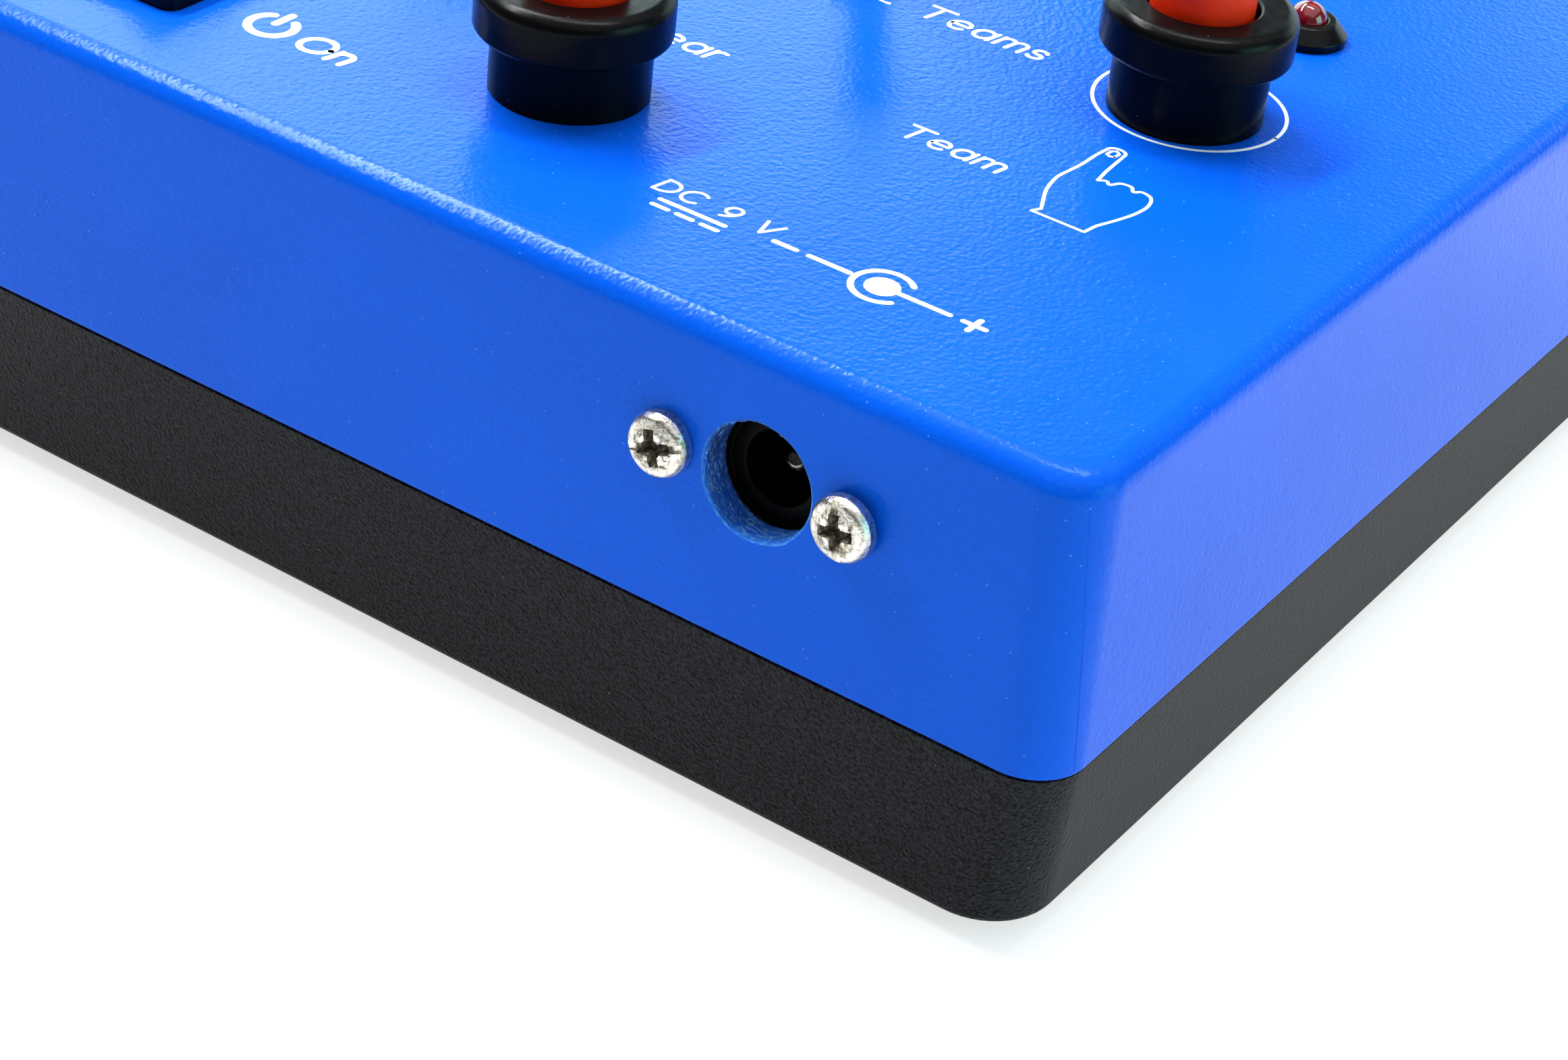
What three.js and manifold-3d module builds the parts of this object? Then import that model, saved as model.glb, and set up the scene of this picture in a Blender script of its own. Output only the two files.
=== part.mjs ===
// A quiz buzzer: a two-part plastic case with two player buttons, a clear button,
// two lock-in lamps, a power rocker, a team selector and a 9 V inlet.
// Millimetres. +X is to the right along the front wall, +Y runs to the back, +Z is up.
// While it is built, y = 0 is the front of the case; at the end the group is moved so
// that its origin is under the middle of its box, on the table.
import * as THREE from "three";
import { mergeVertices } from "three/addons/utils/BufferGeometryUtils.js";
import Module from "manifold-3d";

const wasm = await Module();
wasm.setup();

// ---------- driving dimensions ----------
const GAP = 0.3; // left between pieces that touch or slide

const WIDTH = 136.4; // the case at its parting line
const DEPTH = 160;
const FOOT_HEIGHT = 2; // under the tray
const TRAY_HEIGHT = 17.9;
const SHELL_HEIGHT = 26.2;
const WALL = 3;
const SHELL_DRAFT = 1.48; // the shell's walls lean in by this much at its top
const TRAY_DRAFT = 2.76; // the tray's walls lean in by this much at its bottom
const CORNER = 5; // plan radius of the corners at the parting line
const TRAY_CORNER = 6.4; // and at the tray's bottom
const RIM = 2.3; // rounding between the walls and the top panel
const TRAY_EDGE = 0.8; // bevel round the tray's bottom
const SHADOW_STEP = 0.3; // the tray's wall is set back this far at the parting line
const TONGUE = { height: 2.5, thick: 1.5 }; // the tray's lip inside the shell

const TRAY_BOTTOM = FOOT_HEIGHT;
const PARTING = TRAY_BOTTOM + TRAY_HEIGHT;
const PANEL = PARTING + SHELL_HEIGHT; // the top panel's upper face
const PANEL_UNDER = PANEL - WALL;
const FLOOR = TRAY_BOTTOM + WALL; // the tray's inner floor
const DRAFT_ANGLE = Math.atan(SHELL_DRAFT / SHELL_HEIGHT);

const PLAYER = { x: 40.2, y: 62.1, lift: 0.5 }; // player buttons, at +x and -x
const CLEAR = { x: 0, y: 25.6, lift: 0 }; // lift: how much higher a button sits in the panel
const LAMP = { x: 40.7, y: 84.3, lens: 1.8, domeTop: 3.5, under: -5, neck: 2.8, bezel: 3.9 };
const BUTTON = {
  barrel: 7, // radii
  collar: 8.6,
  shoulder: 1,
  neck: 6,
  bore: 5,
  plunger: 4.6,
  stem: 1.8,
  stemHole: 2.2,
  stop: 2.9,
  collarFrom: 5.6, // heights above the panel
  collarTop: 10,
  plungerTop: 13.6,
  plungerUnder: -3,
  seat: -9, // the spring's seat
  neckEnd: -11,
};
const ROCKER = { x: -43.3, y: 19.2, long: 21, wide: 15, corner: 1.5, tilt: 9 };
const ROCKER_BOX = { long: 9.3, wide: 6.3, under: -14 }; // its housing: half sizes and lower end
const SELECTOR = { x: 0, y: 72, pivot: 3.5, tilt: 12, tip: 17.5 };
const BUSHING = { radius: 3, bore: 2.2, top: 6.5 }; // the selector's threaded neck
const JACK = { x: 38.4, drop: 11.4, hole: 5, bore: 3.2, pin: 1, pitch: 17.6 };
const JACK_SCREW = { shank: 1.5, length: 11, head: 2.78, rise: 1.9 };
const SCREW_STAND = { left: 0.1, right: 0.5 }; // how far each head stands off the wall
const SOUNDER = { x: 0, y: 124, radius: 11, hole: 1.1, ring: 5 };
const POST = { x: 58.7, inset: 9.5, radius: 4.2 }; // the four case screws
const BOARD = { x: 46, front: 48, back: 132, top: 11.6, thick: 1.6 };
const FOOT = { x: 50, inset: 20, radius: 6 };

// ---------- making solids ----------
const segments = (radius) => (radius > 4 ? 24 : radius > 2.2 ? 16 : 10);

// A three.js geometry as a solid, whichever way round its faces came out.
function solid(geometry) {
  const bare = new THREE.BufferGeometry();
  bare.setAttribute("position", geometry.getAttribute("position"));
  bare.setIndex(geometry.index);
  const merged = mergeVertices(bare, 1e-4);
  const corners = [];
  for (let i = 0; i < merged.index.count; i += 3) {
    const [a, b, c] = [0, 1, 2].map((k) => merged.index.getX(i + k));
    if (a !== b && b !== c && c !== a) corners.push(a, b, c);
  }
  const make = (order) =>
    new wasm.Manifold(
      new wasm.Mesh({
        numProp: 3,
        vertProperties: new Float32Array(merged.attributes.position.array),
        triVerts: new Uint32Array(order),
      }),
    );
  const made = make(corners);
  return made.volume() > 0 ? made : make(corners.reverse());
}

// The outline turned about Z. Points are [radius, z]; the outline closes on itself.
function turned(points, sides = segments(Math.max(...points.map((p) => p[0])))) {
  const outline = points.map(([r, z]) => new THREE.Vector2(r, z));
  const onAxis = points[0][0] === 0 && points.at(-1)[0] === 0;
  if (!onAxis) outline.push(outline[0].clone());
  return solid(new THREE.LatheGeometry(outline, sides).rotateX(Math.PI / 2));
}

const disc = (radius, low, high, sides) =>
  turned([[0, low], [radius, low], [radius, high], [0, high]], sides);

// A box from its lowest to its highest corner.
function block(low, high) {
  const size = high.map((v, i) => v - low[i]);
  const middle = high.map((v, i) => (v + low[i]) / 2);
  return solid(new THREE.BoxGeometry(...size).translate(...middle));
}

// A flat outline of [x, y] points, raised from low to high.
function prism(points, low, high) {
  const shape = new THREE.Shape(points.map(([x, y]) => new THREE.Vector2(x, y)));
  const raised = new THREE.ExtrudeGeometry(shape, { depth: high - low, bevelEnabled: false });
  return solid(mergeVertices(raised.translate(0, 0, low)));
}

function hexNut(acrossFlats, hole, low, high) {
  const corner = acrossFlats / 2 / Math.cos(Math.PI / 6);
  const points = [0, 1, 2, 3, 4, 5].map((k) => {
    const angle = (k * Math.PI) / 3;
    return [corner * Math.cos(angle), corner * Math.sin(angle)];
  });
  return prism(points, low, high).subtract(disc(hole, low - 1, high + 1, 20));
}

// A rectangle with round corners, as a ring of points at height z.
const CORNER_STEPS = 5;
function roundedRing([x, y], [halfX, halfY], radius, z) {
  const ring = [];
  for (const [sx, sy, start] of [[1, 1, 0], [-1, 1, 1], [-1, -1, 2], [1, -1, 3]]) {
    for (let k = 0; k <= CORNER_STEPS; k++) {
      const angle = ((start + k / CORNER_STEPS) * Math.PI) / 2;
      ring.push([
        x + sx * (halfX - radius) + radius * Math.cos(angle),
        y + sy * (halfY - radius) + radius * Math.sin(angle),
        z,
      ]);
    }
  }
  return ring;
}

// The case's plan outline, drawn in by inset.
const caseRing = (inset, radius, z) =>
  roundedRing([0, DEPTH / 2], [WIDTH / 2 - inset, DEPTH / 2 - inset], radius, z);

// A closed skin over rings of points that lie one above another.
function loft(rings) {
  const count = rings[0].length;
  const index = [];
  for (let r = 0; r < rings.length - 1; r++) {
    for (let k = 0; k < count; k++) {
      const [a, b] = [r * count + k, r * count + ((k + 1) % count)];
      index.push(a, b, b + count, a, b + count, a + count);
    }
  }
  const last = (rings.length - 1) * count;
  for (let k = 1; k < count - 1; k++) {
    index.push(0, k + 1, k, last, last + k, last + k + 1);
  }
  const geometry = new THREE.BufferGeometry();
  geometry.setAttribute("position", new THREE.Float32BufferAttribute(rings.flat(2), 3));
  return solid(geometry.setIndex(index));
}

// Rotates a solid about X, in degrees, through the origin; then moves it.
const tipped = (piece, degrees, to) => piece.rotate([degrees, 0, 0]).translate(to);

// ---------- materials ----------
const plain = (color, roughness, metalness = 0) =>
  new THREE.MeshStandardMaterial({ color, roughness, metalness });
const BLUE = plain(0x2f7bff, 0.45);
const BLACK = plain(0x1b1b1d, 0.6);
const GLOSS_BLACK = plain(0x0d0d0e, 0.3);
const RED = plain(0xd9331c, 0.4);
const LENS_RED = plain(0x7a0612, 0.1);
const RUBBER = plain(0x222224, 0.9);
const STEEL = plain(0xb9bbbd, 0.3, 1);
const BRASS = plain(0xc9a64a, 0.35, 1);
const BOARD_GREEN = plain(0x1f6b3a, 0.5);

const buzzer = new THREE.Group();

// Adds a solid to the buzzer as a named mesh at a place.
function add(name, piece, material, [x, y, z] = [0, 0, 0], lean = 0) {
  const mesh = piece.getMesh();
  const geometry = new THREE.BufferGeometry();
  geometry.setAttribute("position", new THREE.BufferAttribute(mesh.vertProperties, 3));
  geometry.setIndex(new THREE.BufferAttribute(mesh.triVerts, 1));
  const node = new THREE.Mesh(geometry.toNonIndexed(), material);
  node.geometry.computeVertexNormals();
  node.name = name;
  node.position.set(x, y, z);
  node.rotation.y = lean;
  buzzer.add(node);
}

// ---------- the case ----------
const MIRRORED = [["left", -1], ["right", 1]];
const CORNERS = [-1, 1].flatMap((sx) => [-1, 1].map((sy) => [sx, sy]));
const atCorner = (place, sx, sy) => [
  sx * place.x,
  sy < 0 ? place.inset : DEPTH - place.inset,
];
const wallInset = (z) => (SHELL_DRAFT * (z - PARTING)) / SHELL_HEIGHT;
const jackHeight = PANEL - JACK.drop;
const SCREW_HOLE = 1.8; // clearance round an M3 screw
const HEAD_POCKET = { radius: 3.3, depth: 12 }; // under each case screw
const SCREW_TIP = PANEL_UNDER - 10; // how high the case screws reach
const BOARD_SCREW = { x: 41, inset: 5, hole: 1.4 };
const boardCorner = (sx, sy) => [
  sx * BOARD_SCREW.x,
  sy < 0 ? BOARD.front + BOARD_SCREW.inset : BOARD.back - BOARD_SCREW.inset,
];

function topShell() {
  const outside = [caseRing(0, CORNER, PARTING + GAP)];
  const RIM_STEPS = 5;
  for (let k = 0; k <= RIM_STEPS; k++) {
    const angle = (k / RIM_STEPS) * (Math.PI / 2);
    const z = PANEL - RIM + RIM * Math.sin(angle);
    const inset = wallInset(PANEL - RIM) + RIM * (1 - Math.cos(angle));
    outside.push(caseRing(inset, CORNER - 0.2 * RIM * (1 - Math.cos(angle)), z));
  }
  const inside = [
    caseRing(WALL, CORNER - WALL, PARTING - 1),
    caseRing(WALL + wallInset(PANEL_UNDER), CORNER - WALL, PANEL_UNDER),
  ];
  let shell = loft(outside).subtract(loft(inside));
  for (const [sx, sy] of CORNERS) {
    const [x, y] = atCorner(POST, sx, sy);
    const post = disc(POST.radius, PARTING + GAP, PANEL_UNDER + 1, 16);
    const pilot = disc(SCREW_HOLE, PARTING - 1, SCREW_TIP + 1);
    shell = shell.add(post.translate([x, y, 0])).subtract(pilot.translate([x, y, 0]));
  }
  const hole = (x, y, radius) => disc(radius, PANEL_UNDER - 1, PANEL + 1).translate([x, y, 0]);
  const cuts = [
    hole(CLEAR.x, CLEAR.y, BUTTON.neck + GAP),
    hole(SELECTOR.x, SELECTOR.y, BUSHING.radius + GAP),
  ];
  for (const side of [-1, 1]) {
    cuts.push(hole(side * PLAYER.x, PLAYER.y, BUTTON.neck + GAP));
    cuts.push(hole(side * LAMP.x, LAMP.y, LAMP.neck + GAP));
  }
  const [long, wide] = [ROCKER_BOX.long + GAP, ROCKER_BOX.wide + GAP];
  cuts.push(
    block(
      [ROCKER.x - long, ROCKER.y - wide, PANEL_UNDER - 1],
      [ROCKER.x + long, ROCKER.y + wide, PANEL + 1],
    ),
  );
  cuts.push(hole(SOUNDER.x, SOUNDER.y, SOUNDER.hole));
  for (let k = 0; k < 6; k++) {
    const angle = (k * Math.PI) / 3;
    const [x, y] = [SOUNDER.ring * Math.cos(angle), SOUNDER.ring * Math.sin(angle)];
    cuts.push(hole(SOUNDER.x + x, SOUNDER.y + y, SOUNDER.hole));
  }
  cuts.push(tipped(disc(JACK.hole, -6, 6), 90, [JACK.x, 0, jackHeight]));
  for (const side of [-1, 1]) {
    const x = JACK.x + (side * JACK.pitch) / 2;
    cuts.push(tipped(disc(SCREW_HOLE, -6, 6), 90, [x, 0, jackHeight]));
  }
  return cuts.reduce((whole, cut) => whole.subtract(cut), shell);
}

function bottomTray() {
  const innerTop = WALL + GAP + TONGUE.thick;
  const bevelInset = TRAY_DRAFT * (1 - TRAY_EDGE / TRAY_HEIGHT);
  const outside = [
    caseRing(TRAY_DRAFT + TRAY_EDGE, TRAY_CORNER - TRAY_EDGE, TRAY_BOTTOM),
    caseRing(bevelInset, TRAY_CORNER, TRAY_BOTTOM + TRAY_EDGE),
    caseRing(SHADOW_STEP, CORNER, PARTING),
  ];
  const lip = [
    caseRing(WALL + GAP, CORNER - WALL, PARTING - 1),
    caseRing(WALL + GAP + 0.1, CORNER - WALL, PARTING + TONGUE.height),
  ];
  const inside = [
    caseRing(innerTop + 1, CORNER - WALL, FLOOR),
    caseRing(innerTop, 1.5, PARTING + TONGUE.height + 1),
  ];
  let tray = loft(outside).add(loft(lip)).subtract(loft(inside));
  for (const [sx, sy] of CORNERS) {
    const [x, y] = atCorner(POST, sx, sy);
    const pocketTop = TRAY_BOTTOM + HEAD_POCKET.depth;
    tray = tray
      .add(disc(POST.radius + 0.8, TRAY_BOTTOM + 1, PARTING, 16).translate([x, y, 0]))
      .subtract(disc(SCREW_HOLE, TRAY_BOTTOM, PARTING + 1).translate([x, y, 0]))
      .subtract(disc(HEAD_POCKET.radius, TRAY_BOTTOM - 1, pocketTop, 16).translate([x, y, 0]));
    const [footX, footY] = atCorner(FOOT, sx, sy);
    const recess = disc(FOOT.radius + GAP, TRAY_BOTTOM - 1, TRAY_BOTTOM + 0.6, 20);
    tray = tray.subtract(recess.translate([footX, footY, 0]));
    const [boardX, boardY] = boardCorner(sx, sy);
    const boardUnder = BOARD.top - BOARD.thick - GAP;
    tray = tray
      .add(disc(3, TRAY_BOTTOM + 1, boardUnder).translate([boardX, boardY, 0]))
      .subtract(disc(BOARD_SCREW.hole, FLOOR, boardUnder + 1).translate([boardX, boardY, 0]));
  }
  return tray;
}

// A cross-recess screw along +Z: its head's seat is at z = 0 and its tip points down.
function crossScrew(shank, length, head, rise, sides = 10) {
  const arm = head * 0.62;
  const slot = head * 0.13;
  const body = turned([
    [0, -length],
    [shank * 0.6, -length],
    [shank, -length + 1],
    [shank, 0],
    [head, 0],
    [head, rise * 0.35],
    [head * 0.86, rise * 0.72],
    [head * 0.5, rise],
    [0, rise],
  ], sides);
  return body
    .subtract(block([-arm, -slot, rise * 0.45], [arm, slot, rise + 1]))
    .subtract(block([-slot, -arm, rise * 0.45], [slot, arm, rise + 1]));
}

add("top_shell", topShell(), BLUE);
add("bottom_tray", bottomTray(), BLACK);

const rubberFoot = turned([
  [0, 0],
  [FOOT.radius - 0.7, 0],
  [FOOT.radius, 0.7],
  [FOOT.radius, TRAY_BOTTOM + 0.6 - GAP],
  [0, TRAY_BOTTOM + 0.6 - GAP],
], 20);
CORNERS.forEach(([sx, sy], k) => {
  const [x, y] = atCorner(POST, sx, sy);
  const seat = TRAY_BOTTOM + HEAD_POCKET.depth - GAP;
  const upright = crossScrew(1.5, SCREW_TIP - seat, 2.8, 1.8).rotate([180, 0, 0]);
  add(`case_screw_${k + 1}`, upright, STEEL, [x, y, seat]);
  add(`rubber_foot_${k + 1}`, rubberFoot, RUBBER, [...atCorner(FOOT, sx, sy), 0]);
});

// ---------- push buttons ----------
// A button is drawn with z = 0 on the panel, plus its lift.
function buttonBody(lift) {
  const { barrel, collar, shoulder, neck, bore, stemHole } = BUTTON;
  const { collarFrom, collarTop, seat, neckEnd } = BUTTON;
  return turned([
    [stemHole, neckEnd],
    [neck, neckEnd],
    [neck, GAP - lift],
    [barrel, GAP - lift],
    [barrel, collarFrom],
    [collar - 0.3, collarFrom],
    [collar, collarFrom + 0.3],
    [collar, collarTop - shoulder],
    [collar - 0.3 * shoulder, collarTop - 0.3 * shoulder],
    [collar - shoulder, collarTop],
    [bore + 0.4, collarTop],
    [bore, collarTop - 0.4],
    [bore, seat],
    [stemHole, seat],
  ]);
}

function buttonPlunger() {
  const { plunger, stem, stop, plungerTop, plungerUnder, neckEnd } = BUTTON;
  const stopUnder = neckEnd - 1.6;
  return turned([
    [0, stopUnder],
    [stop, stopUnder],
    [stop, neckEnd - GAP],
    [stem, neckEnd - GAP],
    [stem, plungerUnder],
    [plunger, plungerUnder],
    [plunger, plungerTop - 1],
    [plunger - 0.8, plungerTop - 0.3],
    [0, plungerTop],
  ]);
}

// The return spring: a wire wound round the plunger's stem.
class Coil extends THREE.Curve {
  constructor(radius, low, high, turns) {
    super();
    Object.assign(this, { radius, low, high, turns });
  }
  getPoint(t) {
    const angle = t * this.turns * 2 * Math.PI;
    const z = this.low + t * (this.high - this.low);
    return new THREE.Vector3(this.radius * Math.cos(angle), this.radius * Math.sin(angle), z);
  }
}
const SPRING = { radius: 3.4, wire: 0.3, turns: 4, stepsPerTurn: 9 };
function buttonSpring() {
  const inset = GAP + SPRING.wire;
  const low = BUTTON.seat + inset;
  const coil = new Coil(SPRING.radius, low, BUTTON.plungerUnder - inset, SPRING.turns);
  const section = [0, 1, 2, 3].map((k) => {
    const angle = (k * Math.PI) / 2;
    return new THREE.Vector2(SPRING.wire * Math.cos(angle), SPRING.wire * Math.sin(angle));
  });
  const steps = SPRING.turns * SPRING.stepsPerTurn;
  const wound = new THREE.ExtrudeGeometry(new THREE.Shape(section), { extrudePath: coil, steps });
  return solid(mergeVertices(wound));
}

// The contact block under the neck, with two solder blades.
const CONTACTS = { radius: 5.6, well: 3.4, height: 7.5, base: 1.6 };
const BLADE = { reach: 3, thick: 0.8, wide: 2.4, length: 4 };
function buttonContacts() {
  const top = BUTTON.neckEnd - GAP;
  const bottom = top - CONTACTS.height;
  const cup = disc(CONTACTS.radius, bottom, top, 16);
  const well = disc(CONTACTS.well, bottom + CONTACTS.base, top + 1, 12);
  const blades = [-BLADE.reach, BLADE.reach].map((x) =>
    block(
      [x - BLADE.thick / 2, -BLADE.wide / 2, bottom - BLADE.length],
      [x + BLADE.thick / 2, BLADE.wide / 2, bottom + 1],
    ),
  );
  return cup.subtract(well).add(blades[0]).add(blades[1]);
}

const BUTTON_NUT = { wide: 16, thick: 2.6 };
const BUTTONS = [
  ["left", -PLAYER.x, PLAYER.y, PLAYER.lift],
  ["right", PLAYER.x, PLAYER.y, PLAYER.lift],
  ["clear", CLEAR.x, CLEAR.y, CLEAR.lift],
];
for (const [side, x, y, lift] of BUTTONS) {
  const place = [x, y, PANEL + lift];
  const nutTop = -WALL - GAP - lift;
  add(`${side}_button_body`, buttonBody(lift), GLOSS_BLACK, place);
  add(`${side}_button_plunger`, buttonPlunger(), RED, place);
  add(`${side}_button_spring`, buttonSpring(), STEEL, place);
  const nut = hexNut(BUTTON_NUT.wide, BUTTON.neck + GAP, nutTop - BUTTON_NUT.thick, nutTop);
  add(`${side}_button_nut`, nut, BLACK, place);
  add(`${side}_button_contacts`, buttonContacts(), BLACK, place);
}

// ---------- lamps ----------
function lampBezel() {
  const bore = LAMP.lens + GAP;
  return turned([
    [bore, -WALL - 1],
    [LAMP.neck, -WALL - 1],
    [LAMP.neck, GAP],
    [LAMP.bezel, GAP],
    [LAMP.bezel, 0.8],
    [2.7, 2],
    [bore, 2],
  ], 20);
}

// The lens has a flange under the panel, a round top, and two wire legs down to the board.
const LENS_FLANGE = { radius: 2.4, thick: 1 };
const LEG = { reach: 1.27, half: 0.25 };
function lampLens() {
  const flangeUnder = LAMP.under - LENS_FLANGE.thick;
  const outline = [
    [0, flangeUnder],
    [LENS_FLANGE.radius, flangeUnder],
    [LENS_FLANGE.radius, LAMP.under],
    [LAMP.lens, LAMP.under],
  ];
  const DOME_STEPS = 4;
  for (let k = 0; k <= DOME_STEPS; k++) {
    const angle = (k / DOME_STEPS) * (Math.PI / 2);
    const radius = k === DOME_STEPS ? 0 : LAMP.lens * Math.cos(angle);
    outline.push([radius, LAMP.domeTop - LAMP.lens + LAMP.lens * Math.sin(angle)]);
  }
  const legEnd = BOARD.top + GAP - PANEL;
  const legs = [-LEG.reach, LEG.reach].map((x) =>
    block([x - LEG.half, -LEG.half, legEnd], [x + LEG.half, LEG.half, LAMP.under - 0.5]),
  );
  return turned(outline, 16).add(legs[0]).add(legs[1]);
}

for (const [side, sign] of MIRRORED) {
  const place = [sign * LAMP.x, LAMP.y, PANEL];
  add(`${side}_lamp_bezel`, lampBezel(), GLOSS_BLACK, place);
  add(`${side}_lamp_lens`, lampLens(), LENS_RED, place);
}

// ---------- power rocker ----------
const ROCKER_WELL = { long: 8.4, wide: 5.4, under: -12 }; // the paddle's well, half sizes
const FLANGE = { edge: 1.6, top: 2.2, bevel: 0.6 };
const PADDLE_WIDE = ROCKER_WELL.wide - GAP;
function rockerFrame() {
  const half = [ROCKER.long / 2, ROCKER.wide / 2];
  const flange = loft([
    roundedRing([0, 0], half, ROCKER.corner, GAP),
    roundedRing([0, 0], half, ROCKER.corner, FLANGE.edge),
    roundedRing([0, 0], half.map((v) => v - FLANGE.bevel), ROCKER.corner - FLANGE.bevel, FLANGE.top),
  ]);
  const { long, wide, under } = ROCKER_BOX;
  const housing = block([-long, -wide, under], [long, wide, 1]);
  const well = block(
    [-ROCKER_WELL.long, -ROCKER_WELL.wide, ROCKER_WELL.under],
    [ROCKER_WELL.long, ROCKER_WELL.wide, 3],
  );
  return flange.add(housing).subtract(well);
}

// The paddle's side view is a shallow V on a round belly; it rocks about its own origin.
function rockerPaddle() {
  const outline = [[-7.6, 1.2], [-7.3, 3.9], [-6.6, 4.2], [0, 2.6], [6.6, 4.2], [7.3, 3.9], [7.6, 1.2]];
  const BELLY = 5.2;
  for (const angle of [-35, -60, -90, -120, -145]) {
    const turn = (angle * Math.PI) / 180;
    outline.push([BELLY * Math.cos(turn), BELLY * Math.sin(turn)]);
  }
  return prism(outline, -PADDLE_WIDE, PADDLE_WIDE).rotate([90, 0, 0]);
}

const rockerPlace = [ROCKER.x, ROCKER.y, PANEL];
const TO_RADIANS = Math.PI / 180;
add("rocker_frame", rockerFrame(), GLOSS_BLACK, rockerPlace);
add("rocker_paddle", rockerPaddle(), BLACK, rockerPlace, -ROCKER.tilt * TO_RADIANS);
const TERMINAL = { reach: 4.5, thick: 0.8, wide: 4.8, length: 7, eye: 0.9, eyeDrop: 5 };
for (const [side, sign] of MIRRORED) {
  const x = sign * TERMINAL.reach;
  const top = ROCKER_BOX.under - GAP;
  const blade = block(
    [x - TERMINAL.thick / 2, -TERMINAL.wide / 2, top - TERMINAL.length],
    [x + TERMINAL.thick / 2, TERMINAL.wide / 2, top],
  );
  const eye = disc(TERMINAL.eye, -2, 2).rotate([0, 90, 0]).translate([x, 0, top - TERMINAL.eyeDrop]);
  add(`rocker_terminal_${side}`, blade.subtract(eye), BRASS, rockerPlace);
}

// ---------- team selector ----------
const SWITCH_BOX = { halfLong: 6.5, halfWide: 4, height: 10 };
function selectorBody() {
  const { halfLong, halfWide, height } = SWITCH_BOX;
  const top = -WALL - GAP;
  const box = block([-halfLong, -halfWide, top - height], [halfLong, halfWide, top]);
  const bushing = disc(BUSHING.radius, -WALL - 1, BUSHING.top, 20);
  return box.add(bushing).subtract(disc(BUSHING.bore, -2, BUSHING.top + 1, 20));
}

// Lever and sleeve are drawn upright about the pivot, which is their origin.
const sleeveFoot = BUSHING.top - SELECTOR.pivot + 1.4;
const sleeveTop = SELECTOR.tip - SELECTOR.pivot;
function selectorLever() {
  return turned([
    [0, -4.4],
    [0.7, -4.4],
    [1, -2],
    [1.5, -0.8],
    [1.5, 0.8],
    [1, 2],
    [1.25, sleeveTop - 2],
    [0, sleeveTop - 1.4],
  ]);
}
function selectorSleeve() {
  const bore = 1.25 + GAP;
  return turned([
    [0, sleeveTop - 0.9],
    [bore, sleeveTop - 1.4],
    [bore, sleeveFoot],
    [2, sleeveFoot],
    [2.4, sleeveTop - 1.4],
    [1.7, sleeveTop - 0.3],
    [0, sleeveTop],
  ], 16);
}

const selectorPlace = [SELECTOR.x, SELECTOR.y, PANEL];
const pivotPlace = [SELECTOR.x, SELECTOR.y, PANEL + SELECTOR.pivot];
add("selector_body", selectorBody(), STEEL, selectorPlace);
const SELECTOR_NUT = { wide: 8, thick: 2 };
const selectorNut = hexNut(SELECTOR_NUT.wide, BUSHING.radius + GAP, GAP, GAP + SELECTOR_NUT.thick);
add("selector_nut", selectorNut, STEEL, selectorPlace);
add("selector_lever", selectorLever(), STEEL, pivotPlace, SELECTOR.tilt * TO_RADIANS);
add("selector_sleeve", selectorSleeve(), GLOSS_BLACK, pivotPlace, SELECTOR.tilt * TO_RADIANS);

// ---------- power inlet ----------
// Drawn with +Z as the way out of the mouth and z = 0 on the case's outer face.
const JACK_FACE = -WALL - GAP; // the socket's front, behind the wall
const JACK_BACK = JACK_FACE - 12;
const EARS = { halfLong: 12, halfWide: 5.4, thick: 2.2 };
const BARREL = 5.2;
function jackBody() {
  const { halfLong, halfWide, thick } = EARS;
  const ears = block([-halfLong, -halfWide, JACK_FACE - thick], [halfLong, halfWide, JACK_FACE]);
  const barrel = disc(BARREL, JACK_BACK, JACK_FACE, 24);
  const bore = disc(JACK.bore, JACK_BACK + 2, JACK_FACE + 1, 20);
  const pinHole = disc(JACK.pin + GAP, JACK_BACK - 1, JACK_FACE);
  const screwHoles = [-1, 1].map((side) =>
    disc(SCREW_HOLE, JACK_FACE - 3, JACK_FACE + 1).translate([(side * JACK.pitch) / 2, 0, 0]),
  );
  const rest = ears.add(barrel).subtract(bore).subtract(pinHole);
  return rest.subtract(screwHoles[0]).subtract(screwHoles[1]);
}

function jackPin() {
  return turned([
    [0, JACK_BACK - 3],
    [JACK.pin, JACK_BACK - 3],
    [JACK.pin, JACK_FACE - 2.4],
    [JACK.pin * 0.5, JACK_FACE - 1.9],
    [0, JACK_FACE - 1.8],
  ]);
}

// Turned to look out of the front wall, square to its slope.
const outward = (piece, x) =>
  piece
    .rotate([90 - DRAFT_ANGLE / TO_RADIANS, 0, 0])
    .translate([x, wallInset(jackHeight), jackHeight]);
const M3_NUT = { wide: 5.5, thick: 2.4 };
add("jack_body", outward(jackBody(), JACK.x), GLOSS_BLACK);
add("jack_pin", outward(jackPin(), JACK.x), STEEL);
for (const [side, sign] of MIRRORED) {
  const x = JACK.x + (sign * JACK.pitch) / 2;
  const nutTop = JACK_FACE - EARS.thick - GAP;
  const { shank, length, head, rise } = JACK_SCREW;
  const screw = crossScrew(shank, length, head, rise, 16).translate([0, 0, SCREW_STAND[side]]);
  const nut = hexNut(M3_NUT.wide, SCREW_HOLE, nutTop - M3_NUT.thick, nutTop);
  add(`jack_screw_${side}`, outward(screw, x), STEEL);
  add(`jack_nut_${side}`, outward(nut, x), STEEL);
}

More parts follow.
